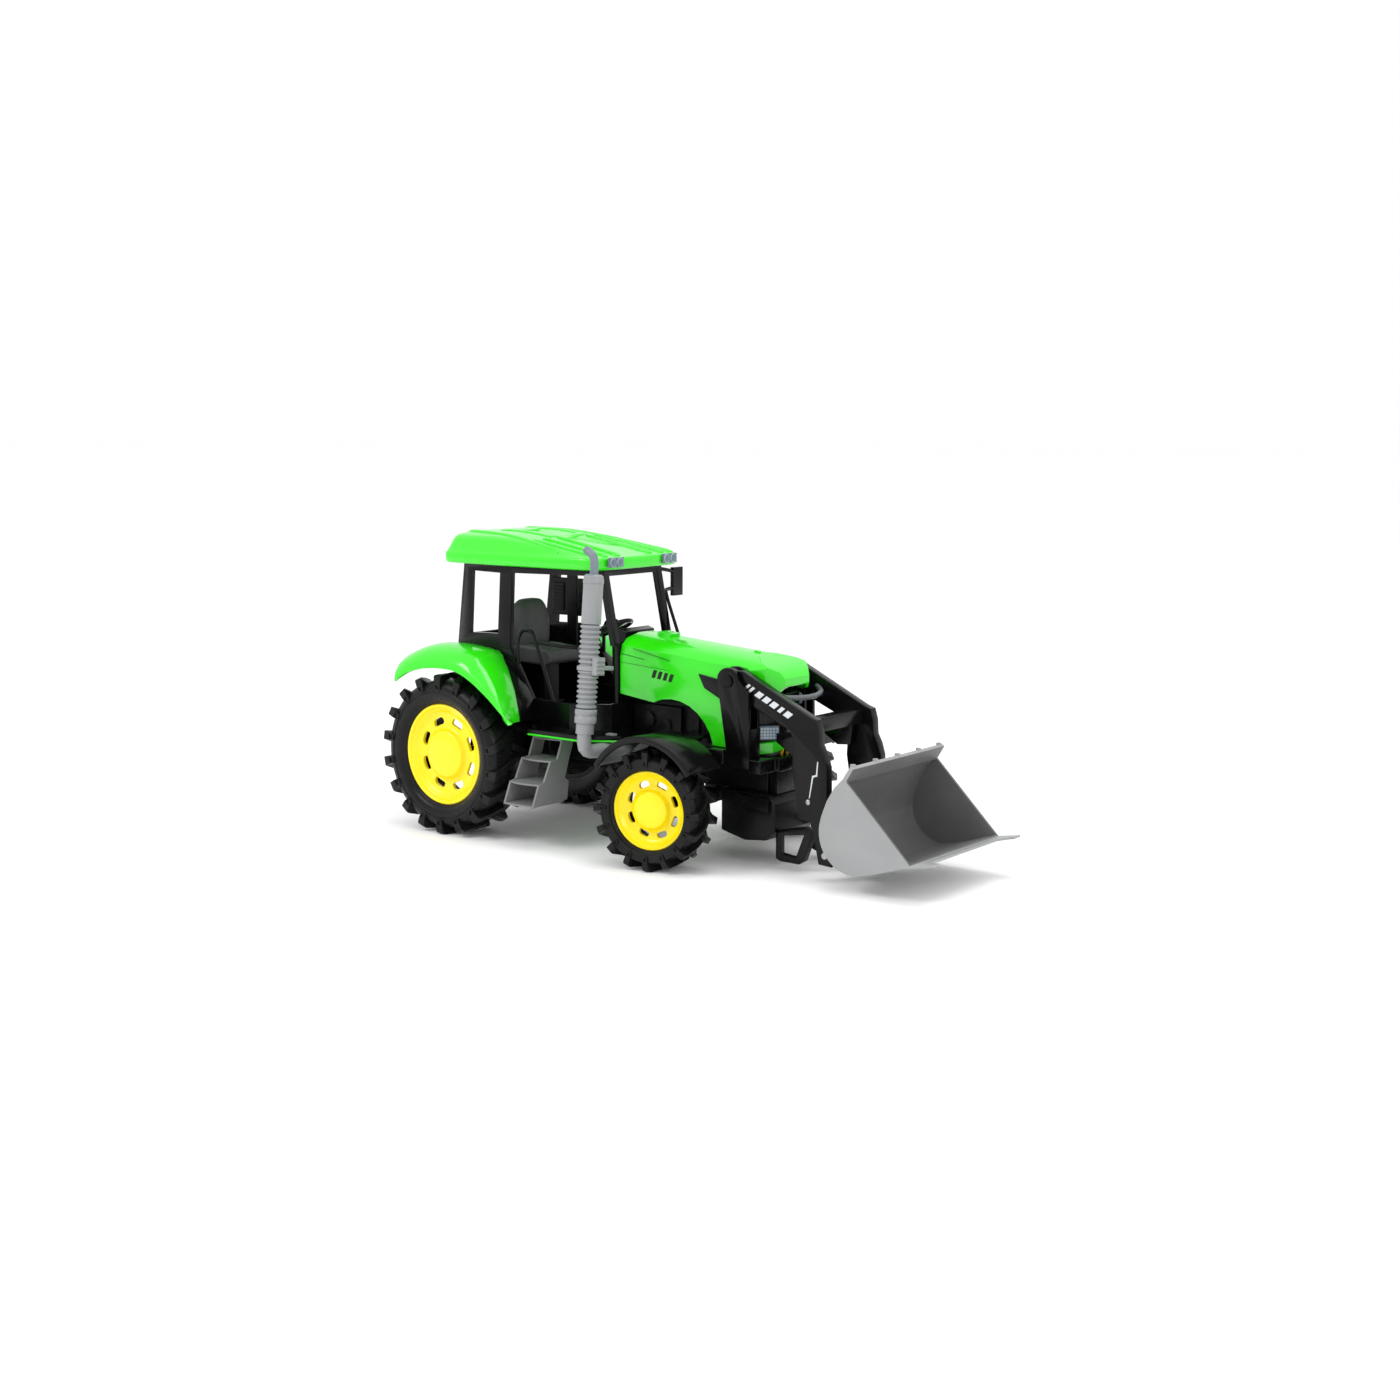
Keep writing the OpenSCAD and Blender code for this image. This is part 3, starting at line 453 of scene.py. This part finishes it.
def rim(name, node, body, front, side, r, face, inner, slot_w, slot_l):
    """A dished wheel with a raised hub and a ring of slots; its inner side is black like the tyre."""
    place = wheel_place(front, side)
    k = r / REAR_RIM_RADIUS
    front_side = [
        (0, -0.9), (9 * k, -1.0), (16.6 * k, -1.3), (17.6 * k, -1.7), (18.2 * k, -2.6), (18.9 * k, -4.6),
        (20.5 * k, -5.6), (24 * k, -6.2), (28 * k, -6.2), (31 * k, -5.2), (33 * k, -3.6), (34 * k, -2.3),
        (34.6 * k, -1.9), (35.1 * k, -2.2), (35.6 * k, -2.0), (36.1 * k, -0.9), (36.9 * k, -0.15),
        (38.0 * k, 0.0), (r - 0.05, -0.5)]
    back = [
        (r - 0.05, inner - face), (r - 2.5, inner - face), (r - 2.6, -8.5), (33 * k, -8.6), (28 * k, -8.7),
        (22 * k, -8.6), (17 * k, -6.6), (12 * k, -5.2), (8 * k, -5.0), (6.5 * k, -8),
        (5.5, inner - face + 6), (0, inner - face + 6)]
    profile = [(p, face + q) for p, q in front_side + back]
    verts, faces = [], []
    n = len(profile)
    for i in range(RIM_SEGMENTS):
        a = 2 * math.pi * i / RIM_SEGMENTS
        verts += [place(max(p, 0.001), a, q) for p, q in profile]
    for i in range(RIM_SEGMENTS):
        j = (i + 1) % RIM_SEGMENTS
        for m in range(n - 1):
            faces.append([i * n + m, i * n + m + 1, j * n + m + 1, j * n + m])
    obj = piece(name, verts, faces, [yellow, tyre_black], body, "yellow_rim")
    for i, poly in enumerate(obj.data.polygons):
        poly.material_index = 1 if i % (n - 1) >= len(front_side) else 0
    bm = bmesh.new()
    bm.from_mesh(obj.data)
    bmesh.ops.remove_doubles(bm, verts=bm.verts, dist=0.00001)
    bmesh.ops.recalc_face_normals(bm, faces=bm.faces)
    bm.to_mesh(obj.data)
    bm.free()
    cutters = []
    for i in range(SLOTS):
        mid = math.radians(22.5 + 360 * i / SLOTS)
        ring = []
        for j in range(SLOT_POINTS):
            u, v = superellipse(2 * math.pi * j / SLOT_POINTS, 0.6)
            u *= slot_w / 2
            v *= slot_l / 2
            rr = SLOT_RING * r + u
            ring.append((rr, v / rr * (1 - 0.08 * u / slot_w)))

        def slot_point(rr, da, d, mid=mid):
            return place(rr, mid + da, d)
        cutters.append(loose("slot", *prism(ring, slot_point, face - 1, face - 12)))
    cut(obj, cutters)
    for p in obj.data.polygons:
        p.use_smooth = True
    soften(obj, 0.35, 2, 40)
    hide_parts(node)
    return obj


for side, word in ((1, "right"), (-1, "left")):
    tyre(f"rear_tyre_{word}_lugged", f"rear_tyre_{word}", "rear_wheels", False, side,
         61.5, 38.72, REAR_WIDTH, 18)
    rim(f"rear_rim_{word}_dished", f"rear_rim_{word}", "rear_wheels", False, side,
        REAR_RIM_RADIUS, 37.2, 4, 5.8, 11.2)
    tyre(f"front_tyre_{word}_lugged", f"front_tyre_{word}", f"front_wheel_{word}", True, side,
         43, 28.42, FRONT_WIDTH, 16)
    rim(f"front_rim_{word}_dished", f"front_rim_{word}", f"front_wheel_{word}", True, side,
        28.4, 26.1, 3, 4.3, 8.3)

# ---------------------------------------------------------------- roof
ROOF = 205.02
ROOF_TOP = 229.8
BAND = [(-34, 0), (-34, -30), (-32.2, -52), (-25, -56.8), (30, -57), (103, -54.4), (120.8, -50.4),
        (123.9, -22), (124, 0)]


def roof_outline(inset):
    """The roof's outline, drawn in by inset millimetres towards its middle line."""
    half = []
    for x, y in BAND:
        cx = min(max(x, -4), 84)
        away = Vector((x - cx, y)).length
        k = max(0.0, 1 - inset / away)
        half.append((cx + (x - cx) * k, y * k))
    full = half + [(x, -y) for x, y in half[-2:0:-1]]
    return chaikin(full, 2)


def ease(t):
    t = min(1, max(0, t))
    return t * t * (3 - 2 * t)


def crown(x, y, rise):
    """Height of the roof's top: high behind, sloping down to the front band, with a slight arch."""
    slope = 11.6 * (1 - min(1, max(0, (x - 18) / 104)) ** 1.15)
    return 214.2 + (slope + 3.2 * (1 - (y / 57) ** 2) * (1 - ease((x - 40) / 90))) * rise


verts, faces = [], []
rings = [[(x, y, ROOF) for x, y in roof_outline(6)], [(x, y, ROOF) for x, y in roof_outline(1.6)],
         [(x, y, 205.9) for x, y in roof_outline(0.5)], [(x, y, 208.5) for x, y in roof_outline(0.1)],
         [(x, y, 212.6) for x, y in roof_outline(0)], [(x, y, 213.8) for x, y in roof_outline(0.7)],
         [(x, y, 214.4) for x, y in roof_outline(1.8)]]
for inset, rise in ((4.2, 0.32), (6.4, 0.66), (8.6, 0.88), (12, 1.0), (18, 1.03), (26, 1.06),
                    (36, 1.08), (46, 1.09)):
    rings.append([(x, y, min(ROOF_TOP, crown(x, y, rise))) for x, y in roof_outline(inset)])
n = len(rings[0])
for ring in rings:
    verts += ring
for k in range(len(rings) - 1):
    faces += [[k * n + i, k * n + (i + 1) % n, (k + 1) * n + (i + 1) % n, (k + 1) * n + i] for i in range(n)]
faces.append(list(range(n))[::-1])
faces.append([(len(rings) - 1) * n + i for i in range(n)])
roof = piece("roof_shell", verts, faces, green, "tractor", "green_shell")
sub = roof.modifiers.new("sub", "SUBSURF")
sub.levels = sub.render_levels = 1
bake(roof)
for p in roof.data.polygons:
    p.use_smooth = True
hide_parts("roof")
roof_tree = BVHTree.FromPolygons([v.co.copy() for v in roof.data.vertices],
                                 [list(p.vertices) for p in roof.data.polygons])


def top_of(tree, x, y):
    hit = tree.ray_cast(at(x, y, 400), Vector((0, 0, -1)))
    return hit[0].z * 1000 if hit[0] else ROOF


def draped(name, tree, outline_at, rows, cols, lift, mat, body, slot, sink=1.0):
    """A raised panel that follows the surface below it. outline_at(u, v) gives its plan."""
    verts, faces = [], []
    grid = {}
    for i in range(rows + 1):
        for j in range(cols + 1):
            u, v = i / rows, j / cols
            x, y = outline_at(u, v)
            edge = i in (0, rows) or j in (0, cols)
            z = top_of(tree, x, y) + (lift * (0.35 if edge else 1.0))
            grid[i, j] = len(verts)
            verts.append((x, y, z))
    base = len(verts)
    for i in range(rows + 1):
        for j in range(cols + 1):
            x, y, z = verts[grid[i, j]]
            verts.append((x, y, top_of(tree, x, y) - sink))
    for i in range(rows):
        for j in range(cols):
            a, b, c, d = grid[i, j], grid[i + 1, j], grid[i + 1, j + 1], grid[i, j + 1]
            faces += [[a, b, c, d], [base + d, base + c, base + b, base + a]]
    rim_loop = [grid[i, 0] for i in range(rows)] + [grid[rows, j] for j in range(cols)]
    rim_loop += [grid[i, cols] for i in range(rows, 0, -1)] + [grid[0, j] for j in range(cols, 0, -1)]
    for k, a in enumerate(rim_loop):
        b = rim_loop[(k + 1) % len(rim_loop)]
        faces.append([a, b, base + b, base + a])
    return piece(name, verts, faces, mat, body, slot)


def quad_plan(a, b, c, d):
    """Plan of a four-cornered panel, corners in order."""
    def plan(u, v):
        x = (1 - u) * ((1 - v) * a[0] + v * d[0]) + u * ((1 - v) * b[0] + v * c[0])
        y = (1 - u) * ((1 - v) * a[1] + v * d[1]) + u * ((1 - v) * b[1] + v * c[1])
        return x, y
    return plan


def roof_panel(name, corners, rows, cols, lift, sink=1.0):
    draped(name, roof_tree, quad_plan(*corners), rows, cols, lift, green, "tractor", "green_shell", sink)


# ribs that run forwards down the roof's front slope, on both sides of the middle
RIB_HALF = 1.6
for k, (y0, y1) in enumerate([(-40, -44), (-30, -33), (-17, -19), (17, 19), (30, 33), (40, 44)]):
    x0 = 58 - abs(y0) * 0.2
    corners = ((x0, y0 - RIB_HALF), (117, y1 - RIB_HALF), (117, y1 + RIB_HALF), (x0, y0 + RIB_HALF))
    roof_panel(f"roof_rib_{k}", corners, 22, 4, 1.5)
for k, s in enumerate((-1, 1)):
    corners = ((-24, s * 30), (84, s * 47.5), (84, s * 50.5), (-24, s * 34))
    roof_panel(f"roof_crease_{k}", corners, 36, 4, 1.3)

# raised frame round the hatch
for word, rows, cols, corners in (
        ("rear", 4, 16, ((0, -22), (8, -20), (8, 20), (0, 22))),
        ("front", 4, 16, ((44, -20), (52, -22), (52, 22), (44, 20))),
        ("right", 16, 4, ((0, -22), (52, -22), (44, -16.5), (8, -16.5))),
        ("left", 16, 4, ((8, 16.5), (44, 16.5), (52, 22), (0, 22)))):
    roof_panel(f"roof_hatch_frame_{word}", corners, rows, cols, 0.95, 0.6)

# ---------------------------------------------------------------- hood
# thin dark green strips along both sides, painted shade standing in for the shadow in the hood's grooves
seams = []
for a, b in [((139.5, 148.0), (173.4, 141.5)), ((127.0, 137.2), (171.5, 134.3)),
             ((127.0, 143.6), (150, 140.6))]:
    for s in (-1, 1):
        ys = sorted((29.4 * s, 30.07 * s))
        outline = [(a[0], a[1] - 0.2), (b[0], b[1] - 0.2), (b[0], b[1] + 0.2), (a[0], a[1] + 0.2)]
        seams.append(prism(outline, xz, *ys))
piece("hood_groove_shade_strips", *merge(*seams), groove_shade_green, "tractor", "green_shell", smooth=False)

# panel that closes the top of the nose, following the hood's own outline
NOSE = [(230.0, 151.0, 6), (236.0, 149.9, 14.5), (240.0, 148.72, 18.5), (244.0, 147.56, 21.9),
        (250.0, 145.31, 24.9), (256.0, 143.06, 27.0), (259.5, 141.08, 27.9), (263.04, 139.06, 28.6),
        (266.04, 134.04, 29.5)]
hood = nodes["hood"]
hood_tree = BVHTree.FromPolygons([hood.matrix_world @ v.co for v in hood.data.vertices],
                                 [list(p.vertices) for p in hood.data.polygons])
verts, faces = [], []
for x, z, half in NOSE:
    hit = hood_tree.ray_cast(at(x - 0.3, 60, z - 0.7), Vector((0, -1, 0)))
    half = min(half, hit[0].y * 1000 - 0.5) if hit[0] and hit[0].y > 0.002 else 2.0
    verts += [(x, -half, z), (x, half, z), (x - 0.8, half, z - 1.5), (x - 0.8, -half, z - 1.5)]
for k in range(len(NOSE) - 1):
    faces += [[4 * k + i, 4 * k + (i + 1) % 4, 4 * k + 4 + (i + 1) % 4, 4 * k + 4 + i] for i in range(4)]
faces += [[3, 2, 1, 0], [4 * len(NOSE) - 4 + i for i in range(4)]]
nose = piece("hood_nose_panel", verts, faces, green, "tractor", "green_shell")
nose.modifiers.new("keep", "EDGE_SPLIT").split_angle = math.radians(50)

# generic slanted bars where the side carries print
for word, s in SIDES:
    bars = []
    for k in range(4):
        x = 157 + 5.2 * k
        z = 131.4 - 0.6 * k
        outline = [(x, z - 3.4), (x + 3.2, z - 3.7), (x + 5.4, z + 2.0), (x + 2.2, z + 2.3)]
        ys = sorted((29.6 * s, 30.16 * s))
        bars.append(prism(outline, xz, *ys))
    piece(f"hood_bars_{word}", *merge(*bars), print_black, "tractor", "black_plastic", smooth=False)

# ---------------------------------------------------------------- seat
CUSHION = [(7, 126.3), (43, 126.3), (48.4, 129), (48.7, 135), (45, 138.8), (20, 140.6), (7, 140)]
seat = piece("seat_cushion", *prism(CUSHION, xz, -19, 19), seat_grey, "tractor", "seat_grey")
soften(seat, 3.6, 5, 20)
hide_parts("seat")
BACK_POINTS = 24
BACK_SWELL = 0.8
back_rows = []
for z, half, x0, x1 in [(131, 17, -0.5, 15), (142, 18.6, -2.6, 18), (152, 18.8, -3.0, 18),
                        (161, 17.8, -2.2, 17.6), (168, 15.6, -0.6, 16.9), (173, 12.4, 2.2, 15.4),
                        (175.8, 8.6, 5.2, 13.0)]:
    ring = []
    for k in range(BACK_POINTS):
        px, py = superellipse(2 * math.pi * k / BACK_POINTS, 0.55)
        hollow = BACK_SWELL * (1 - abs(py)) * (1 if px > 0 else 0)
        ring.append(((x0 + x1) / 2 + px * (x1 - x0) / 2 - hollow, py * half, z))
    back_rows.append(ring)
verts = [p for ring in back_rows for p in ring]
n = BACK_POINTS
faces = []
for k in range(len(back_rows) - 1):
    faces += [[k * n + i, k * n + (i + 1) % n, (k + 1) * n + (i + 1) % n, (k + 1) * n + i] for i in range(n)]
faces.append(list(range(n))[::-1])
faces.append([(len(back_rows) - 1) * n + i for i in range(n)])
backrest = piece("seat_backrest", verts, faces, seat_grey, "tractor", "seat_grey")
sub = backrest.modifiers.new("sub", "SUBSURF")
sub.levels = sub.render_levels = 2

# ---------------------------------------------------------------- exhaust
muffler = copy_of("exhaust_muffler", "exhaust_silencer", pipe_grey, 0.6)
muffler.data.materials.append(tail_grey)
TAIL_ABOVE_FOOT = 0.0362
tail_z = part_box("exhaust_muffler")[0].z + TAIL_ABOVE_FOOT
for p in muffler.data.polygons:
    p.use_smooth = True
    p.material_index = 1 if p.center.z > tail_z else 0

LEAN = math.radians(5.5)


def stack_point(r, a, d):
    """A point round the leaning stack: radius, angle, height along it."""
    y, c, s = r * math.sin(a), math.cos(LEAN), math.sin(LEAN)
    return (134.5 + r * math.cos(a), -79 + y * c + d * s, 90 - y * s + d * c)


COLLAR = [(6.4, 7.6), (7.7, 7.7), (8.0, 8.2), (8.0, 12.6), (7.6, 12.9), (7.6, 13.5), (8.0, 13.8),
          (8.0, 17.4), (7.6, 17.9), (6.4, 17.9)]
TOP_BAND = [(7.0, 108.6), (7.45, 108.7), (7.55, 109.1), (7.55, 111.6), (7.3, 112), (7.0, 112)]
for name, profile in (("exhaust_collar", COLLAR), ("exhaust_top_band", TOP_BAND)):
    piece(name, *turned(profile, stack_point, 64), pipe_grey, "tractor", "pipe_grey")


def elbow_ring(r, a, d):
    return (139.4 + r * math.cos(a), -58 + d, 76.6 + r * math.sin(a))


ring = turned([(5.0, 0), (6.4, 0), (6.6, 0.3), (6.6, 5.7), (6.4, 6), (5.0, 6)], elbow_ring, 48)
tab = block((136, -57.4, 82.4), (143, -52.6, 87.6))
bracket = piece("exhaust_pipe_bracket", *merge(ring, tab), pipe_grey, "tractor", "pipe_grey")
soften(bracket, 0.4, 2)

# ---------------------------------------------------------------- bucket
bucket = copy_of("bucket", "bucket_shell", bucket_out)
dress(bucket, 0.5)
bake(bucket)
bucket.data.materials.append(bucket_in_dark_and_shaded)
# faces inside the scoop and the inner faces of the side plates take the darker grey, partly their own colour
# and partly painted shade
for p in bucket.data.polygons:
    c = p.center * 1000
    x, y, z = c.x - REAR_X, c.y, c.z
    inward = (abs(y) < 58.1 and (p.normal.x > 0.25 or p.normal.z > 0.3) and x < 398 and z < 79)
    plate_in = 57.5 < abs(y) < 58.4 and p.normal.y * y < 0 and abs(p.normal.y) > 0.8
    p.material_index = 1 if inward or plate_in else 0
    p.use_smooth = True

# ---------------------------------------------------------------- lamps
LAMP_TURN = math.radians(47.7)
for word, s in SIDES:
    turn = Matrix.Rotation(LAMP_TURN * s, 3, "Z")
    centre = Vector((253.9, 17.4 * s, 0))

    def lamp_point(x, y, z):
        p = turn @ Vector((x, y, 0)) + centre
        return (p.x, p.y, z)

    def lamp_block(x0, x1, y0, y1, z0, z1):
        v, f = block((x0, y0, z0), (x1, y1, z1))
        return [lamp_point(*p) for p in v], f

    parts = []
    for i in range(6):
        for j in range(4):
            y = -6.4 + i * 2.2
            z = 91.3 + j * 2.1
            parts.append(lamp_block(3.3, 3.75, y, y + 1.8, z, z + 1.7))
    soften(piece(f"headlight_cells_{word}", *merge(*parts), lens_grey, "tractor", "lamp_grey"), 0.2, 2)
    parts = [lamp_block(1.9, 2.5, -6.0 + i * 4.1, -6.0 + i * 4.1 + 3.7, 113.8, 120.2) for i in range(3)]
    soften(piece(f"nose_light_cells_{word}", *merge(*parts), lens_grey, "tractor", "lamp_grey"), 0.4, 3)

# two round lenses in each roof lamp
LENS = [(0.05, 0.4), (2.2, 0.3), (2.5, 0.0), (2.6, 0.7), (3.3, 0.72), (3.35, -0.4), (0.05, -0.4)]
for word, s in SIDES:
    parts = []
    for dy in (-4, 4):
        def lens(r, a, d, dy=dy, s=s):
            return (125.2 + d, s * 31.6 + dy + r * math.cos(a), 210.8 + r * math.sin(a))
        parts.append(turned(LENS, lens, 40))
    piece(f"roof_lenses_{word}", *merge(*parts), lens_grey, "tractor", "lamp_grey")

# ---------------------------------------------------------------- steps
WALL = [(-47, 82), (-60, 82), (-60.9, 79.2), (-66.6, 65.2), (-74, 64.8), (-81.5, 49.9), (-87, 48.8),
        (-93.6, 33.4), (-93.4, 32.2), (-56, 33.4), (-53.9, 47.5), (-58.2, 50.4), (-52.6, 66), (-47, 80)]
# height, outer edge, inner edge and bow of each tread
TREADS = [(79.4, -60.9, -47.2, 2.2), (64.9, -74, -53.4, 2.6), (49.0, -87, -58.6, 2.6),
          (33.6, -93.4, -58, 0.4)]


def tread_plan(y_out, y_in, bow, steps=12):
    """A tread whose outer edge bows outwards between the two walls."""
    outer = []
    for i in range(steps + 1):
        t = i / steps
        outer.append((68 + 28 * t, y_out - bow * math.sin(math.pi * t)))
    return outer + [(96, y_in), (68, y_in)]


for word, s in SIDES:
    def yz(p, q, d, s=s):
        return (d, -p * s, q)

    def flat(p, q, d, s=s):
        return (p, -q * s, d)

    parts = [prism(WALL, yz, 67, 68.9), prism(WALL, yz, 95.1, 97)]
    for z, y_out, y_in, bow in TREADS:
        parts.append(prism(tread_plan(y_out, y_in, bow), flat, z - 1.5, z))
    steps_obj = piece(f"steps_{word}_treads", *merge(*parts), step_grey, "tractor", "step_grey")
    soften(steps_obj, 0.5, 2)
    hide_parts(f"steps_{word}")

# ---------------------------------------------------------------- cab fittings
parts = [block((0, 34.6, 160), (38, 36.8, 190)), block((18, 34.2, 100), (28, 36.6, 200)),
         block((3, 33.6, 164), (15, 34.8, 186)), block((30, 33.8, 166), (36, 34.8, 186))]
parts += [block((4.2, 33.1, 166 + 2.6 * i), (13.8, 33.9, 167.4 + 2.6 * i)) for i in range(7)]
parts += [block((31.2, 33.2, 168 + 4.4 * i), (34.8, 34.0, 170.6 + 4.4 * i)) for i in range(4)]
soften(piece("cab_side_console", *merge(*parts), frame_black, "tractor", "black_plastic"), 0.5, 2)

# ---------------------------------------------------------------- loader extras
for word, s in SIDES:
    parts = []
    for z in (78.6, 65.9):
        def knob(r, a, d, z=z, s=s):
            return (311.6 + d, s * 34 + r * math.cos(a), z + r * math.sin(a))
        parts.append(turned([(0.05, 0), (2.0, 0), (2.0, 2.4), (1.5, 3.0), (0.05, 3.1)], knob, 20))
    piece(f"arm_knobs_{word}", *merge(*parts), frame_black, "loader_arms", "frame_black")
bars = []
for k in range(3):
    y = -9 + 7.0 * k
    plan = [(y, 77.2), (y + 2.6, 77.2), (y + 5.2, 82.0), (y + 2.6, 82.0)]
    bars.append(prism(plan, lambda p, q, d: (d, p, q), 257.2, 258.0))
piece("hazard_bars", *merge(*bars), hazard_yellow, "tractor", "black_plastic", smooth=False)

# slanted bars and a thin line on the arms' outer faces
BAR_HALF = 2.4
ARM_LINE = [(309.4, 83.2), (310.3, 83.2), (309.6, 73), (306.4, 72), (303.6, 57), (302.9, 57), (305.4, 73),
            (308.6, 74)]
for word, s in SIDES:
    y = 38 * s

    def plate(outline):
        ys = sorted((y - 0.3 * s, y + 0.12 * s))
        return prism(outline, xz, *ys)

    parts = []
    d = Vector((56.5, -26.8)).normalized()
    nrm = Vector((-d.y, d.x))

    def on_arm(a, b):
        p = Vector((246, 131.8)) + d * a + nrm * b
        return (p.x, p.y)

    for a0, length in ((2, 2.2), (6, 2.2), (12, 5.0), (19, 5.0), (26, 5.0), (33.5, 3.0), (39, 5.0)):
        a1 = a0 + length
        parts.append(plate([on_arm(a0, -BAR_HALF), on_arm(a1, -BAR_HALF), on_arm(a1 + BAR_HALF, BAR_HALF),
                            on_arm(a0 + BAR_HALF, BAR_HALF)]))
    piece(f"arm_bars_{word}", *merge(*parts), print_white, "loader_arms", "frame_black", smooth=False)
    piece(f"arm_line_{word}", *plate(ARM_LINE), print_white, "loader_arms", "frame_black", smooth=False)

for word, s in SIDES:
    def stud(r, a, d, s=s):
        return (302.4 + r * math.cos(a), s * (37.2 + d), 54.2 + r * math.sin(a))
    profile = [(0.05, 0), (2.1, 0), (2.1, 1.4), (1.7, 1.9), (0.8, 2.1), (0.05, 2.15)]
    piece(f"arm_pin_{word}", *turned(profile, stud, 24), pin_steel, "loader_arms", "pin_steel")

# ---------------------------------------------------------------- floor, light, camera
FLOOR_SIZE = 60
bpy.ops.mesh.primitive_plane_add(size=FLOOR_SIZE, location=(0, 0, 0))
floor = bpy.context.object
floor.name = "floor"
floor_mat = plastic("floor_white", (255, 255, 255), 0.9, spec=0.05, grain=0.02, grain_mm=2, tone=0.002)
floor.data.materials.append(floor_mat)

world = bpy.data.worlds.new("studio")
scene.world = world
world.use_nodes = True
world.node_tree.nodes["Background"].inputs["Color"].default_value = (1, 1, 1, 1)
world.node_tree.nodes["Background"].inputs["Strength"].default_value = 1.0


def area(name, where, target, size, power):
    light = bpy.data.lights.new(name, "AREA")
    light.shape = "RECTANGLE"
    light.size, light.size_y = size
    light.energy = power
    obj = link(bpy.data.objects.new(name, light))
    obj.location = where
    obj.rotation_euler = (Vector(target) - Vector(where)).to_track_quat("-Z", "Y").to_euler()
    return obj


area("key", (-0.6, -1.1, 1.2), (0, 0, 0.1), (0.7, 0.4), 7.5)
area("top", (0.2, 0.2, 1.5), (0, 0, 0.1), (0.9, 0.6), 6)
area("front", (1.2, -0.3, 0.6), (0.1, 0, 0.1), (0.3, 0.6), 2.5)

CAMERA_AT = Vector((0.84558, -1.09983, 0.31114))
CAMERA_FORWARD = Vector((-0.60209, 0.78538, -0.14375))
CAMERA_ROLL = math.radians(0.22)
cam_data = bpy.data.cameras.new("camera")
cam_data.lens = 48.65
cam_data.sensor_width = 36
cam_data.clip_start = 0.05
camera = link(bpy.data.objects.new("camera", cam_data))
forward = CAMERA_FORWARD.normalized()
right0 = forward.cross(Vector((0, 0, 1))).normalized()
up0 = right0.cross(forward)
right = math.cos(CAMERA_ROLL) * right0 + math.sin(CAMERA_ROLL) * up0
up = -math.sin(CAMERA_ROLL) * right0 + math.cos(CAMERA_ROLL) * up0
matrix = Matrix((right, up, -forward)).transposed().to_4x4()
matrix.translation = CAMERA_AT
camera.matrix_world = matrix
scene.camera = camera
scene.view_settings.view_transform = "Standard"
